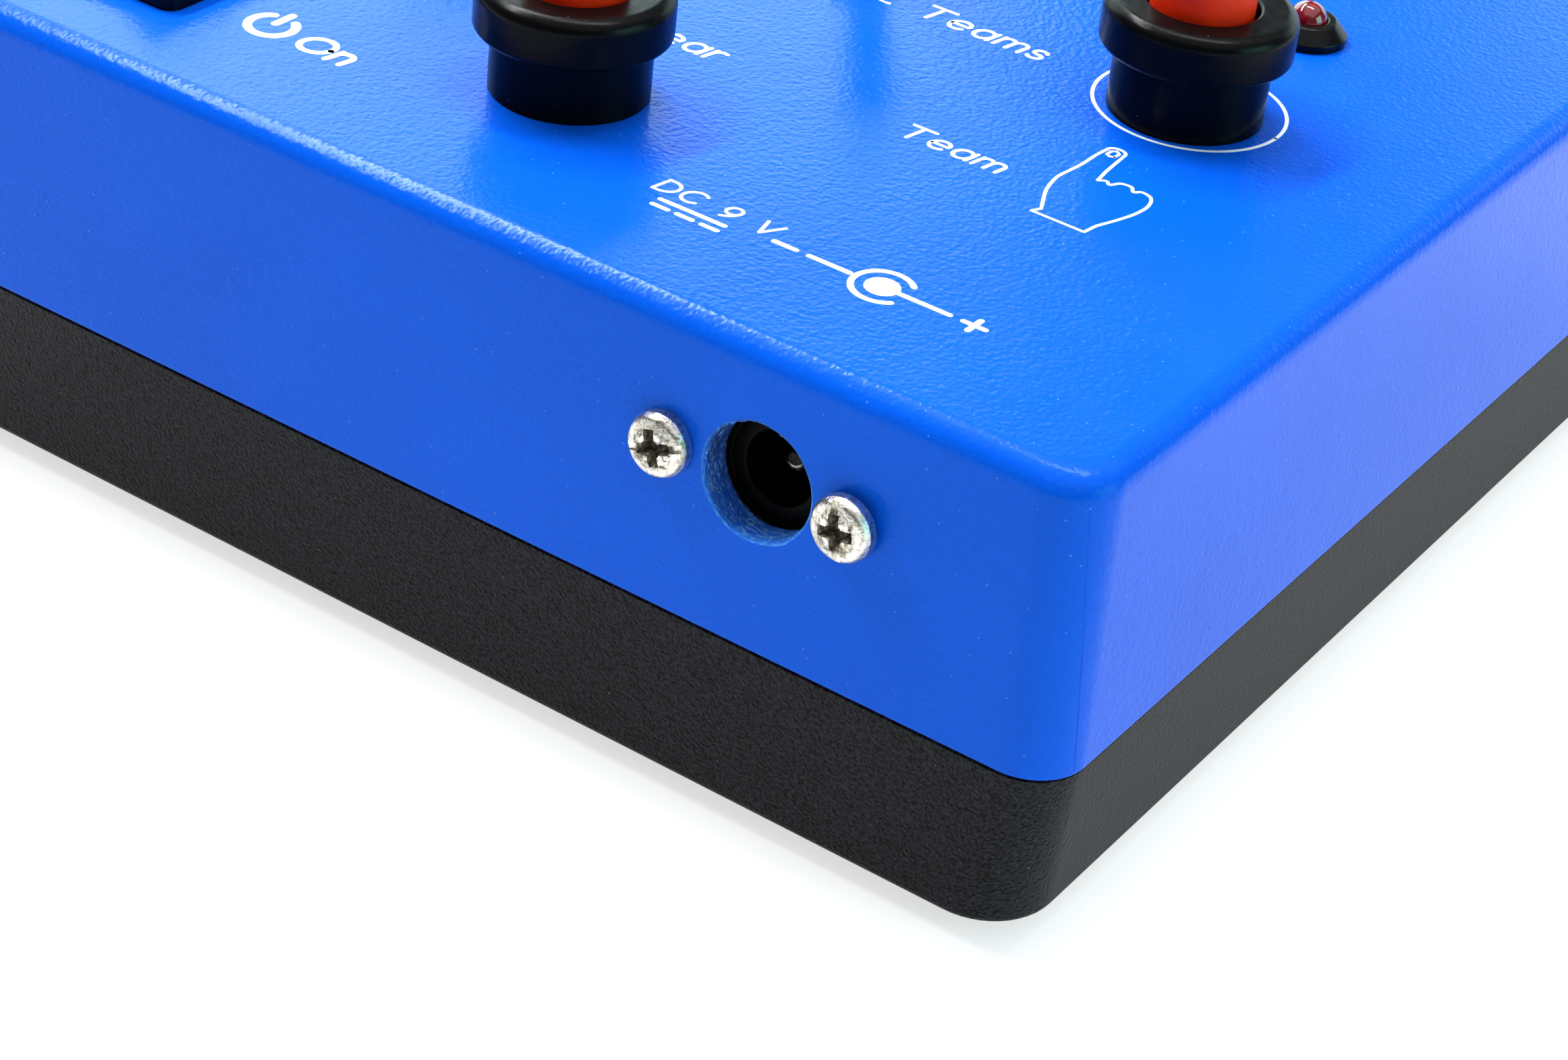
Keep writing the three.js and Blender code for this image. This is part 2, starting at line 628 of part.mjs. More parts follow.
// ---------- inside the case ----------
function circuitBoard() {
  const under = BOARD.top - BOARD.thick;
  let board = block([-BOARD.x, BOARD.front, under], [BOARD.x, BOARD.back, BOARD.top]);
  for (const [sx, sy] of CORNERS) {
    const hole = disc(BOARD_SCREW.hole, under - 1, BOARD.top + 1);
    board = board.subtract(hole.translate([...boardCorner(sx, sy), 0]));
  }
  return board;
}

const PIN_PITCH = 2.54;
function logicChip() {
  let chip = block([-9.6, -3.2, 0.8], [9.6, 3.2, 4.2]);
  for (let k = 0; k < 7; k++) {
    const x = (k - 3) * PIN_PITCH;
    chip = chip.add(block([x - 0.3, -3.9, 0], [x + 0.3, -3, 2.2]));
    chip = chip.add(block([x - 0.3, 3, 0], [x + 0.3, 3.9, 2.2]));
  }
  return chip;
}

function regulator() {
  const body = block([-5, -2.3, 3], [5, 2.3, 12]);
  const tabHole = tipped(disc(1.8, -4, 4), 90, [0, 0, 15]);
  const tab = block([-5, 1, 3], [5, 2.3, 18]).subtract(tabHole);
  const legs = [-PIN_PITCH, 0, PIN_PITCH].map((x) => block([x - 0.35, -0.4, 0], [x + 0.35, 0.4, 4]));
  return legs.reduce((whole, leg) => whole.add(leg), body.add(tab));
}

const capacitor = turned([
  [0, 0],
  [4, 0],
  [4, 1.6],
  [3.7, 1.9],
  [4, 2.2],
  [4, 10.6],
  [3.6, 11],
  [0, 11],
], 14);
const sounder = disc(SOUNDER.radius, -6, 0).subtract(disc(1.5, -3, 1));
const onBoard = (x, y) => [x, y, BOARD.top + GAP];
add("circuit_board", circuitBoard(), BOARD_GREEN);
add("logic_chip", logicChip(), BLACK, onBoard(0, 100));
add("filter_capacitor", capacitor, BLACK, onBoard(24, 60));
add("voltage_regulator", regulator(), BLACK, onBoard(-24, 60));
add("sounder", sounder, GLOSS_BLACK, [SOUNDER.x, SOUNDER.y, PANEL_UNDER - GAP]);
CORNERS.forEach(([sx, sy], k) => {
  const screw = crossScrew(1.1, 5, 2.2, 1.4);
  add(`board_screw_${k + 1}`, screw, STEEL, onBoard(...boardCorner(sx, sy)));
});

// The origin goes under the middle of the box that the whole buzzer fills.
const middle = new THREE.Box3().setFromObject(buzzer).getCenter(new THREE.Vector3());
buzzer.position.set(-middle.x, -middle.y, 0);

export default buzzer;
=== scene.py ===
"""The looks of the quiz buzzer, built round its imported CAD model.

Lengths are written in millimetres in the row frame and turned into metres when a mesh is
made. Places come from the CAD nodes' boxes.
"""

import math
import random

import bmesh  # noqa: E402
import bpy  # noqa: E402
from mathutils import Matrix, Vector, noise  # noqa: E402


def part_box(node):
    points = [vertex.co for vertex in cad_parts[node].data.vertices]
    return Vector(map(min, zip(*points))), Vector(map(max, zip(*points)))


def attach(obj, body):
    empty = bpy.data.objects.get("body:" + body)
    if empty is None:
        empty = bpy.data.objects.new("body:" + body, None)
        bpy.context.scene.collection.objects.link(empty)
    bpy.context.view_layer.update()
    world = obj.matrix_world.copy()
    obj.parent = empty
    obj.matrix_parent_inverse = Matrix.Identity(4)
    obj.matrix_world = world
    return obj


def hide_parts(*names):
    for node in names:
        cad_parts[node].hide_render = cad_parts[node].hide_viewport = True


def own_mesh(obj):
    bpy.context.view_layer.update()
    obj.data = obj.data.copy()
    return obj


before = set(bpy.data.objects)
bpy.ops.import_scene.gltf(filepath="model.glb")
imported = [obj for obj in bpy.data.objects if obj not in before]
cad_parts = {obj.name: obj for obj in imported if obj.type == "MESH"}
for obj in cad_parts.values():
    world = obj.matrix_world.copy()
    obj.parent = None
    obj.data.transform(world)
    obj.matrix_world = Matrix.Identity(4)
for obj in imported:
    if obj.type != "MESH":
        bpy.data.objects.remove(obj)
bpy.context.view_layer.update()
scene = bpy.context.scene
MM = 0.001
TAU = 2 * math.pi


def corners(node):
    """The lowest and highest corner of a CAD node, in millimetres."""
    low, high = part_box(node)
    return low / MM, high / MM


def centre(node):
    low, high = corners(node)
    return (low + high) / 2


# ---------- dimensions, as in the CAD ----------
GAP = 0.3
WALL = 3.0
SHELL_DRAFT = 1.48
TRAY_DRAFT = 2.76
SHELL_CORNER = 5.0
TRAY_CORNER = 6.4
RIM = 2.3
SHADOW_STEP = 0.3

shell_low, shell_high = corners("top_shell")
tray_low, tray_high = corners("bottom_tray")
FRONT, BACK = shell_low.y, shell_high.y
HALF_X = (shell_high.x - shell_low.x) / 2
HALF_Y = (BACK - FRONT) / 2
MIDDLE_Y = (BACK + FRONT) / 2
PANEL = shell_high.z
PANEL_UNDER = PANEL - WALL
PARTING = shell_low.z - GAP
TRAY_BOTTOM = tray_low.z
FLOOR_INSIDE = TRAY_BOTTOM + WALL
SHELL_HEIGHT = PANEL - PARTING
DRAFT_ANGLE = math.atan(SHELL_DRAFT / SHELL_HEIGHT)

BUTTON_NAMES = ("left", "right", "clear")
SIDES = (("left", -1), ("right", 1))
CORNERS = range(1, 5)
NECK_HOLE = 6.3
LAMP_HOLE = 3.1
BUSHING_HOLE = 3.3
SCREW_HOLE = 1.8
SOUNDER_HOLE = 1.1
SOUNDER_REACH = 5
FRAME_LAP = 0.9
LENS_RADIUS = 1.8
BEZEL_RADIUS = 3.9
JACK_DROP = 11.4
JACK_HOLE = 5.0
JACK_HEAD = 1.9
CASE_HEAD = 1.8
SCREW_SHANK = 1.5
POCKET = 3.3
POCKET_DEPTH = 12


def wall_inset(z):
    """How far the shell's wall has leaned in at height z."""
    return SHELL_DRAFT * (z - PARTING) / SHELL_HEIGHT


# The inlet's place on the front wall, and the turn that takes Z to the wall's outward normal.
JACK_X = centre("jack_body").x
JACK_Z = PANEL - JACK_DROP
JACK_AT = (JACK_X, FRONT + wall_inset(JACK_Z), JACK_Z)
OUTWARD = Matrix.Rotation(math.pi / 2 - DRAFT_ANGLE, 3, "X")


# ---------- meshes ----------
def polar(radius, angle):
    return radius * math.cos(angle), radius * math.sin(angle)


def fractions(steps):
    """Even steps from 0 to 1."""
    return [k / steps for k in range(steps + 1)]


def linked(name, data):
    """A mesh, a lamp or a camera as an object of the scene."""
    obj = bpy.data.objects.new(name, data)
    scene.collection.objects.link(obj)
    return obj


def new_object(name, verts, faces, sharp_angle=35):
    """A smooth-shaded mesh object from points in millimetres, with sharp edges kept."""
    mesh = bpy.data.meshes.new(name)
    mesh.from_pydata([Vector(v) * MM for v in verts], [], faces)
    tidy_mesh(mesh, sharp_angle)
    return linked(name, mesh)


def tidy_mesh(mesh, sharp_angle=35):
    """Turns the faces outwards and shades them smoothly, apart from edges over the angle."""
    work = bmesh.new()
    work.from_mesh(mesh)
    bmesh.ops.remove_doubles(work, verts=work.verts, dist=1e-7)
    bmesh.ops.recalc_face_normals(work, faces=work.faces)
    for face in work.faces:
        face.smooth = True
    for edge in work.edges:
        if len(edge.link_faces) == 2:
            edge.smooth = edge.calc_face_angle() < math.radians(sharp_angle)
    work.to_mesh(mesh)
    work.free()


def even_normals(obj):
    """Lets large flat faces set the shading at their borders, so that fillets look crisp."""
    weighted = obj.modifiers.new("even_normals", "WEIGHTED_NORMAL")
    weighted.keep_sharp = True
    weighted.weight = 100


def carve(obj, cutters, sharp_angle=35):
    """Cuts the other objects out of obj, and removes them."""
    for cutter in cutters:
        cut = obj.modifiers.new("cut", "BOOLEAN")
        cut.operation = "DIFFERENCE"
        cut.solver = "EXACT"
        cut.object = cutter
    bpy.context.view_layer.update()
    evaluated = obj.evaluated_get(bpy.context.evaluated_depsgraph_get())
    mesh = bpy.data.meshes.new_from_object(evaluated)
    obj.modifiers.clear()
    obj.data = mesh
    for cutter in cutters:
        bpy.data.objects.remove(cutter)
    tidy_mesh(mesh, sharp_angle)
    return obj


def place(obj, at, turn=None):
    """Moves an object to a place in millimetres, turned by a matrix if one is given."""
    turned = turn.to_4x4() if turn else Matrix.Identity(4)
    obj.matrix_world = Matrix.Translation(Vector(at) * MM) @ turned
    return obj


def dress(obj, paint, body, replaces=()):
    """Gives an object its material, its body and the nodes it stands for."""
    if not obj.data.materials:
        obj.data.materials.append(paint)
    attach(obj, body)
    if replaces:
        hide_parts(*replaces)
    return obj


def soften(profile, steps=5, closed=False):
    """An outline with its corners rounded. A point is (x, y), or (x, y, radius) for a round one."""
    count = len(profile)
    result = []
    for i, (x, y, *fillet) in enumerate(profile):
        at_end = i in (0, count - 1) and not closed
        if not fillet or at_end:
            result.append((x, y))
            continue
        corner = Vector((x, y))
        before = Vector(profile[i - 1][:2]) - corner
        after = Vector(profile[(i + 1) % count][:2]) - corner
        half = before.angle(after) / 2
        reach = min(fillet[0] / math.tan(half), 0.49 * before.length, 0.49 * after.length)
        radius = reach * math.tan(half)
        toward = (before.normalized() + after.normalized()).normalized()
        middle = corner + toward * radius / math.sin(half)
        first = corner + before.normalized() * reach - middle
        last = corner + after.normalized() * reach - middle
        start = math.atan2(first.y, first.x)
        sweep = math.remainder(math.atan2(last.y, last.x) - start, TAU)
        for k in range(steps + 1):
            angle = start + sweep * k / steps
            result.append(tuple(middle + Vector(polar(radius, angle))))
    return result


def lathe(name, profile, sides=96, steps=5, sharp_angle=35):
    """A profile, as soften takes it, turned about Z. It closes on the axis or on itself."""
    closed = not (profile[0][0] == 0 and profile[-1][0] == 0)
    outline = soften(profile, steps, closed)
    verts, rings = [], []
    for radius, z in outline:
        if radius < 1e-6:
            rings.append([len(verts)] * sides)
            verts.append((0, 0, z))
            continue
        rings.append(list(range(len(verts), len(verts) + sides)))
        for k in range(sides):
            verts.append((*polar(radius, TAU * k / sides), z))
    faces = []
    pairs = list(zip(rings, rings[1:]))
    if closed:
        pairs.append((rings[-1], rings[0]))
    for low, high in pairs:
        for k in range(sides):
            n = (k + 1) % sides
            face = []
            for index in (low[k], low[n], high[n], high[k]):
                if index not in face:
                    face.append(index)
            if len(face) > 2:
                faces.append(face)
    return new_object(name, verts, faces, sharp_angle)


def rounded_ring(at, half, radius, z, steps=12):
    """A rectangle with round corners, as points at height z."""
    ring = []
    for k, (sx, sy) in enumerate(((1, 1), (-1, 1), (-1, -1), (1, -1))):
        for t in fractions(steps):
            angle = (k + t) * math.pi / 2
            x = at[0] + sx * (half[0] - radius) + radius * math.cos(angle)
            y = at[1] + sy * (half[1] - radius) + radius * math.sin(angle)
            ring.append((x, y, z))
    return ring


def case_ring(inset, radius, z):
    return rounded_ring((0, MIDDLE_Y), (HALF_X - inset, HALF_Y - inset), radius, z)


def ring_faces(count, rings, base=0):
    """The faces of a closed skin over rings of points: its two ends, then its bands."""
    last = base + (rings - 1) * count
    faces = [list(range(base, base + count)), list(range(last, last + count))]
    for low in range(base, last, count):
        high = low + count
        for k in range(count):
            n = (k + 1) % count
            faces.append((low + k, low + n, high + n, high + k))
    return faces


def loft(name, rings, sharp_angle=35):
    """A closed skin over rings that follow one another."""
    verts = [point for ring in rings for point in ring]
    return new_object(name, verts, ring_faces(len(rings[0]), len(rings)), sharp_angle)


def prism(name, outline, low, high):
    """A flat outline of (x, y) points raised from low to high."""
    return loft(name, [[(x, y, z) for x, y in outline] for z in (low, high)])


def box_mesh(name, low, high, bevel=0.0):
    """A box between two corners, with rounded edges if bevel is given."""
    work = bmesh.new()
    bmesh.ops.create_cube(work, size=1)
    size = Vector(high) - Vector(low)
    middle = (Vector(high) + Vector(low)) / 2
    for vert in work.verts:
        vert.co = Vector([vert.co[i] * size[i] + middle[i] for i in range(3)]) * MM
    if bevel:
        bmesh.ops.bevel(
            work, geom=work.edges, offset=bevel * MM, segments=3, profile=0.5, affect="EDGES"
        )
    mesh = bpy.data.meshes.new(name)
    work.to_mesh(mesh)
    work.free()
    tidy_mesh(mesh)
    return linked(name, mesh)


def rod(name, radius, low, high, sides=48):
    """A plain cylinder along Z, used to cut with."""
    return lathe(name, [(0, low), (radius, low), (radius, high), (0, high)], sides)


def hexagon(across_flats):
    """A hexagon's six corners."""
    corner = across_flats / 2 / math.cos(math.pi / 6)
    return [polar(corner, k * TAU / 6) for k in range(6)]


def join(name, objects):
    """Several objects as one mesh, in the row frame."""
    work = bmesh.new()
    for obj in objects:
        mesh = obj.data.copy()
        mesh.transform(obj.matrix_world)
        work.from_mesh(mesh)
        bpy.data.meshes.remove(mesh)
        bpy.data.objects.remove(obj)
    mesh = bpy.data.meshes.new(name)
    work.to_mesh(mesh)
    work.free()
    return linked(name, mesh)


# ---------- materials ----------
class Paint:
    """A Principled material that is put together from procedural nodes."""

    def __init__(self, name, color, roughness, metallic=0.0, **inputs):
        self.material = bpy.data.materials.new(name)
        self.material.use_nodes = True
        self.tree = self.material.node_tree
        self.shader = self.tree.nodes["Principled BSDF"]
        self.shader.inputs["Base Color"].default_value = (*color, 1)
        self.shader.inputs["Roughness"].default_value = roughness
        self.shader.inputs["Metallic"].default_value = metallic
        for socket, value in inputs.items():
            self.shader.inputs[socket.replace("_", " ")].default_value = value
        self.color = color
        self.roughness = roughness
        self.normal = None
        self.spot = self.node("ShaderNodeTexCoord").outputs["Object"]

    def node(self, kind, inputs=(), **settings):
        """A new shader node with its inputs, each by name or number, and its settings."""
        made = self.tree.nodes.new(kind)
        for key, value in settings.items():
            setattr(made, key, value)
        for socket, value in dict(inputs).items():
            self.feed(made.inputs[socket], value)
        return made

    def feed(self, socket, value):
        """Links an output to an input, or sets the input's own value."""
        if hasattr(value, "is_output"):
            self.tree.links.new(value, socket)
        else:
            socket.default_value = value

    def stretched(self, scale):
        """Object coordinates, scaled differently along each axis."""
        inputs = {"Vector": self.spot, "Scale": scale}
        return self.node("ShaderNodeMapping", inputs).outputs["Vector"]

    def noise(self, size, detail=2.0, roughness=0.5, stretch=None, distortion=0.0):
        """Noise whose features are about size millimetres across."""
        inputs = {"Vector": self.stretched(stretch) if stretch else self.spot}
        inputs |= {"Scale": 1 / (size * MM), "Detail": detail}
        inputs |= {"Roughness": roughness, "Distortion": distortion}
        return self.node("ShaderNodeTexNoise", inputs).outputs["Fac"]

    def cells(self, size, feature="F1"):
        """The distance from the middles, or the edges, of cells of about that size."""
        inputs = {"Vector": self.spot, "Scale": 1 / (size * MM)}
        return self.node("ShaderNodeTexVoronoi", inputs, feature=feature).outputs["Distance"]

    def ramp(self, value, low, high, to_low=0.0, to_high=1.0):
        """The value, carried over from one range to another and held at its ends."""
        inputs = {"Value": value, "From Min": low, "From Max": high}
        inputs |= {"To Min": to_low, "To Max": to_high}
        return self.node("ShaderNodeMapRange", inputs, clamp=True).outputs["Result"]

    def math(self, operation, a, b=0.0):
        return self.node("ShaderNodeMath", {0: a, 1: b}, operation=operation).outputs[0]

    def mix(self, factor, a, b):
        """From colour a to colour b. Each is a plain colour or an output."""
        node = self.node("ShaderNodeMix", {"Factor": factor}, data_type="RGBA")
        for socket, value in ((node.inputs[6], a), (node.inputs[7], b)):
            self.feed(socket, value if hasattr(value, "is_output") else (*value, 1))
        return node.outputs[2]

    def axis(self, letter):
        """One object coordinate, in metres."""
        return self.node("ShaderNodeSeparateXYZ", {0: self.spot}).outputs[letter]

    def from_axis(self, shift=0.0):
        """The distance in metres from a line along Z, shift millimetres along Y from the origin."""
        x, y = self.axis("X"), self.math("SUBTRACT", self.axis("Y"), shift * MM)
        squares = self.math("ADD", self.math("MULTIPLY", x, x), self.math("MULTIPLY", y, y))
        return self.math("SQRT", squares)

    def mottled(self, size, detail, low, high, a, b):
        """Two tones that give way to each other with a noise."""
        return self.mix(self.ramp(self.noise(size, detail), low, high), a, b)

    def dusted(self, tone, spacing, size, amount, color):
        """The tone under scattered dots, about size millimetres across."""
        edge = size / 2 / spacing
        dots = self.ramp(self.cells(spacing), edge * 0.6, edge, 1, 0)
        return self.mix(self.math("MULTIPLY", dots, amount), tone, color)

    def bump(self, height, depth):
        """Adds a relief of that depth in millimetres to what is there already."""
        inputs = {"Height": height, "Distance": depth * MM}
        if self.normal:
            inputs["Normal"] = self.normal
        self.normal = self.node("ShaderNodeBump", inputs).outputs["Normal"]

    def done(self, color=None, roughness=None):
        """Connects what was made to the shader, and gives the material."""
        if color is not None:
            self.feed(self.shader.inputs["Base Color"], color)
        if roughness is not None:
            self.feed(self.shader.inputs["Roughness"], roughness)
        if self.normal:
            self.feed(self.shader.inputs["Normal"], self.normal)
        return self.material


def spread(paint, fac, amount):
    """The paint's roughness, varied by a noise."""
    return paint.ramp(fac, 0.3, 0.7, paint.roughness - amount, paint.roughness + amount)


def scaled(color, factor):
    return tuple(c * factor for c in color)


BLUE = (0.0014, 0.081, 0.60)


def blue_plastic():
    """Satin blue moulded plastic with orange peel and settled dust."""
    tint = (0.55, 0.95, 1.0, 1)
    paint = Paint("shell_blue", BLUE, 0.21, Specular_IOR_Level=0.11, Specular_Tint=tint)
    tone = paint.mottled(22, 2, 0.3, 0.7, scaled(BLUE, 0.95), scaled(BLUE, 1.05))
    grain = paint.ramp(paint.noise(0.40, 2), 0.35, 0.65, 0, 0.14)
    tone = paint.mix(grain, tone, scaled(BLUE, 1.6))
    tone = paint.dusted(tone, 1.6, 0.18, 0.45, (0.22, 0.40, 0.72))
    paint.bump(paint.noise(0.7, 2, 0.5), 0.030)
    paint.bump(paint.cells(0.40, feature="SMOOTH_F1"), 0.022)
    return paint.done(tone, spread(paint, paint.noise(5, 3), 0.03))


def drilled_plastic():
    """The torn wall of a drilled hole: fibres along the cut, a paler stressed mouth, and painted
    light that makes the lower wall brighter than the upper.
    """
    paint = Paint("drilled_blue", (0.01, 0.12, 0.6), 0.7, Specular_IOR_Level=0.3)
    mouth = paint.ramp(paint.axis("Y"), (JACK_AT[1] + 0.10) * MM, (JACK_AT[1] + 0.55) * MM, 1, 0)
    # Painted light: the wall is painted brighter low down, where light from above falls, and darker
    # high up. The pale fibres fade upwards with it.
    lower = paint.ramp(paint.axis("Z"), (JACK_Z - 4.5) * MM, (JACK_Z + 3.0) * MM, 1, 0)
    fibres = paint.noise(1.0, 4, 0.72, stretch=(0.8, 2.4, 1.0), distortion=1.8)
    base = paint.mix(lower, (0.0, 0.014, 0.12), (0.004, 0.13, 0.80))
    lit = paint.ramp(lower, 0, 1, 0.35, 1.0)
    pale = paint.math("MULTIPLY", paint.ramp(fibres, 0.50, 0.62), lit)
    tone = paint.mix(pale, base, (0.20, 0.58, 1.0))
    tone = paint.mix(paint.math("MULTIPLY", mouth, 0.6), tone, (0.02, 0.24, 1.0))
    paint.bump(fibres, 0.35)
    return paint.done(tone)


def black_grain(name, base, roughness, grain, depth):
    """Black plastic with a spark-eroded grain."""
    paint = Paint(name, base, roughness, Specular_IOR_Level=0.055)
    pits = paint.cells(grain)
    fine = paint.noise(grain * 0.8, 2, 0.6)
    tone = paint.mix(paint.ramp(fine, 0.38, 0.62), (0, 0, 0), scaled(base, 4.5))
    tone = paint.dusted(tone, 2.4, 0.15, 0.5, (0.35, 0.35, 0.37))
    paint.bump(pits, depth)
    paint.bump(fine, depth * 0.8)
    return paint.done(tone, spread(paint, fine, 0.06))


def black_gloss(name, roughness=0.27, specular=0.07):
    """Smooth black plastic with a faint moulded ripple and settled dust."""
    base = (0.0016, 0.0017, 0.0019)
    paint = Paint(name, base, roughness, Specular_IOR_Level=specular)
    tone = paint.dusted(base, 1.7, 0.13, 0.35, (0.4, 0.4, 0.42))
    paint.bump(paint.noise(0.5, 2), 0.010)
    return paint.done(tone, spread(paint, paint.noise(1.6, 3), 0.05))


def red_plastic():
    """Scuffed orange-red plastic with fine pale fluff."""
    base = (0.80, 0.026, 0.003)
    glow = {"Subsurface_Weight": 0.08, "Subsurface_Radius": (0.001, 0.0003, 0.0002)}
    paint = Paint("button_red", base, 0.42, Specular_IOR_Level=0.16, **glow)
    tone = paint.mottled(3, 3, 0.3, 0.7, scaled(base, 0.86), scaled(base, 1.08))
    tone = paint.dusted(tone, 0.9, 0.09, 0.3, (0.9, 0.5, 0.4))
    paint.bump(paint.noise(0.35, 3, 0.6), 0.02)
    return paint.done(tone, spread(paint, paint.noise(1.2, 2), 0.08))


def red_lens():
    """Clear red epoxy with flow lines."""
    clear = {"Transmission_Weight": 0.72, "Coat_Weight": 0.5, "Coat_Roughness": 0.06}
    paint = Paint("lamp_red", (0.50, 0.006, 0.022), 0.10, IOR=1.54, **clear)
    streaks = paint.noise(0.9, 2, stretch=(1, 1, 0.3))
    tone = paint.mix(paint.ramp(streaks, 0.35, 0.65), (0.34, 0.004, 0.014), (0.62, 0.010, 0.032))
    paint.bump(paint.noise(0.8, 1), 0.008)
    return paint.done(tone, spread(paint, paint.noise(1, 2), 0.03))


def nickel(name, head_top):
    """Plated steel. Grime fills what lies below the top of a screw's head, in millimetres."""
    grime_radius = 2.0
    base = (0.76, 0.73, 0.67)
    paint = Paint(name, base, 0.24, 1.0)
    blotch = paint.noise(0.7, 4, 0.7, distortion=0.8)
    tone = paint.mix(paint.ramp(blotch, 0.46, 0.64), base, (0.30, 0.24, 0.16))
    rough = paint.ramp(blotch, 0.35, 0.7, 0.20, 0.50)
    paint.bump(blotch, 0.09)
    paint.bump(paint.noise(0.2, 2), 0.02)
    ragged = paint.ramp(paint.noise(0.40, 4, 0.7), 0.35, 0.65, -0.42 * MM, 0.20 * MM)
    depth = paint.math("SUBTRACT", head_top * MM, paint.math("ADD", paint.axis("Z"), ragged))
    deep = paint.ramp(depth, 0.12 * MM, 0.50 * MM)
    inner = paint.ramp(paint.from_axis(), (grime_radius - 0.35) * MM, grime_radius * MM, 1, 0)
    grime = paint.math("MULTIPLY", deep, inner)
    dark = paint.mottled(0.4, 3, 0.4, 0.65, (0.05, 0.045, 0.028), (0.26, 0.23, 0.16))
    tone = paint.mix(grime, tone, dark)
    metal = paint.ramp(grime, 0, 1, 1, 0.15)
    paint.feed(paint.shader.inputs["Metallic"], metal)
    return paint.done(tone, paint.mix(grime, (0.28, 0.28, 0.28), (0.8, 0.8, 0.8)))


def pin_with_painted_light():
    """A contact pin in dark metal as painted shade, with a painted highlight along the lower edge
    of its tip.
    """
    # Painted shade: the metal is painted nearly black for the shade deep inside the hole.
    painted_shade = (0.012, 0.011, 0.009)
    paint = Paint("pin_nickel", painted_shade, 0.28, 1.0)
    # Painted highlight: the lower edge of the tip is painted bright where a reflection shows.
    painted_highlight = paint.ramp(paint.from_axis(0.55), 0.93 * MM, 1.08 * MM)
    tone = paint.mix(painted_highlight, painted_shade, (0.78, 0.74, 0.62))
    paint.bump(paint.noise(0.2, 2), 0.01)
    return paint.done(tone, spread(paint, paint.noise(0.4, 2), 0.05))


def bare_metal(name, base, roughness):
    """Turned metal with fine rings and patches of dark oxide."""
    paint = Paint(name, base, roughness, 1.0)
    rings = paint.noise(0.25, 2, stretch=(0.1, 0.1, 1))
    tone = paint.mottled(1.5, 3, 0.35, 0.7, base, scaled(base, 0.7))
    paint.bump(rings, 0.008)
    return paint.done(tone, spread(paint, rings, 0.08))


def rubber():
    base = (0.018, 0.018, 0.019)
    paint = Paint("foot_rubber", base, 0.82)
    tone = paint.mottled(2, 4, 0.4, 0.7, base, (0.06, 0.06, 0.06))
    paint.bump(paint.noise(0.4, 3), 0.03)
    return paint.done(tone, spread(paint, paint.noise(1, 2), 0.06))


def ink():
    """White printing ink, a little thin in places."""
    paint = Paint("white_ink", (0.86, 0.90, 0.97), 0.45)
    thin = paint.ramp(paint.noise(0.35, 4, 0.7), 0.56, 0.72, 0, 0.6)
    tone = paint.mix(thin, (0.88, 0.92, 0.98), (0.45, 0.62, 0.95))
    paint.bump(paint.noise(0.3, 2), 0.006)
    return paint.done(tone, spread(paint, paint.noise(0.5, 2), 0.08))


def circuit_green():
    """Solder mask with darker tracks under it."""
    base = (0.012, 0.12, 0.04)
    paint = Paint("board_green", base, 0.35)
    tracks = paint.ramp(paint.cells(3.2, feature="DISTANCE_TO_EDGE"), 0.05, 0.08)
    tone = paint.mix(tracks, scaled(base, 1.9), base)
    paint.bump(tracks, 0.03)
    return paint.done(tone, spread(paint, paint.noise(2, 2), 0.05))


def pale_floor():
    """A lit white table, as products are photographed on."""
    lit = {"Emission_Color": (1, 1, 1, 1), "Emission_Strength": 0.68}
    paint = Paint("floor", (0.5, 0.5, 0.5), 0.8, Specular_IOR_Level=0.2, **lit)
    tone = paint.mix(paint.noise(60, 2), (0.47, 0.47, 0.475), (0.5, 0.5, 0.5))
    return paint.done(tone, spread(paint, paint.noise(30, 2), 0.05))


SHELL_PAINT = blue_plastic()
HOLE_PAINT = drilled_plastic()
TRAY_PAINT = black_grain("tray_black", (0.0040, 0.0041, 0.0050), 0.42, 0.36, 0.075)
BUTTON_PAINT = black_gloss("button_black")
BEZEL_PAINT = black_gloss("bezel_black", 0.24, 0.14)
INLET_PAINT = black_gloss("inlet_black", 0.40, 0.04)
MOULDED_PAINT = black_grain("moulded_black", (0.014, 0.014, 0.015), 0.48, 0.6, 0.02)
PLUNGER_PAINT = red_plastic()
LENS_PAINT = red_lens()
JACK_SCREW_PAINT = nickel("screw_steel", JACK_HEAD)
CASE_SCREW_PAINT = nickel("case_screw_steel", CASE_HEAD)
PIN_PAINT = pin_with_painted_light()
SELECTOR_PAINT = bare_metal("selector_metal", (0.66, 0.66, 0.66), 0.2)
BRASS_PAINT = bare_metal("terminal_brass", (0.75, 0.60, 0.28), 0.3)
RUBBER_PAINT = rubber()
INK_PAINT = ink()
BOARD_PAINT = circuit_green()


# ---------- the case ----------
def shell_outside():
    """The shell's skin: a small lip at the parting, a drafted wall and a rounded rim."""
    lip = 0.35
    rings = [
        case_ring(lip * 0.9, SHELL_CORNER - lip * 0.9, PARTING + 0.04),
        case_ring(lip * 0.25, SHELL_CORNER - lip * 0.25, PARTING + 0.04 + lip * 0.3),
        case_ring(0.03, SHELL_CORNER, PARTING + lip),
    ]
    start = wall_inset(PANEL - RIM)
    for t in fractions(14):
        angle = t * math.pi / 2
        along = 1 - math.cos(angle)
        z = PANEL - RIM + RIM * math.sin(angle)
        rings.append(case_ring(start + RIM * along, SHELL_CORNER - 0.2 * RIM * along, z))
    return loft("shell_skin", rings)


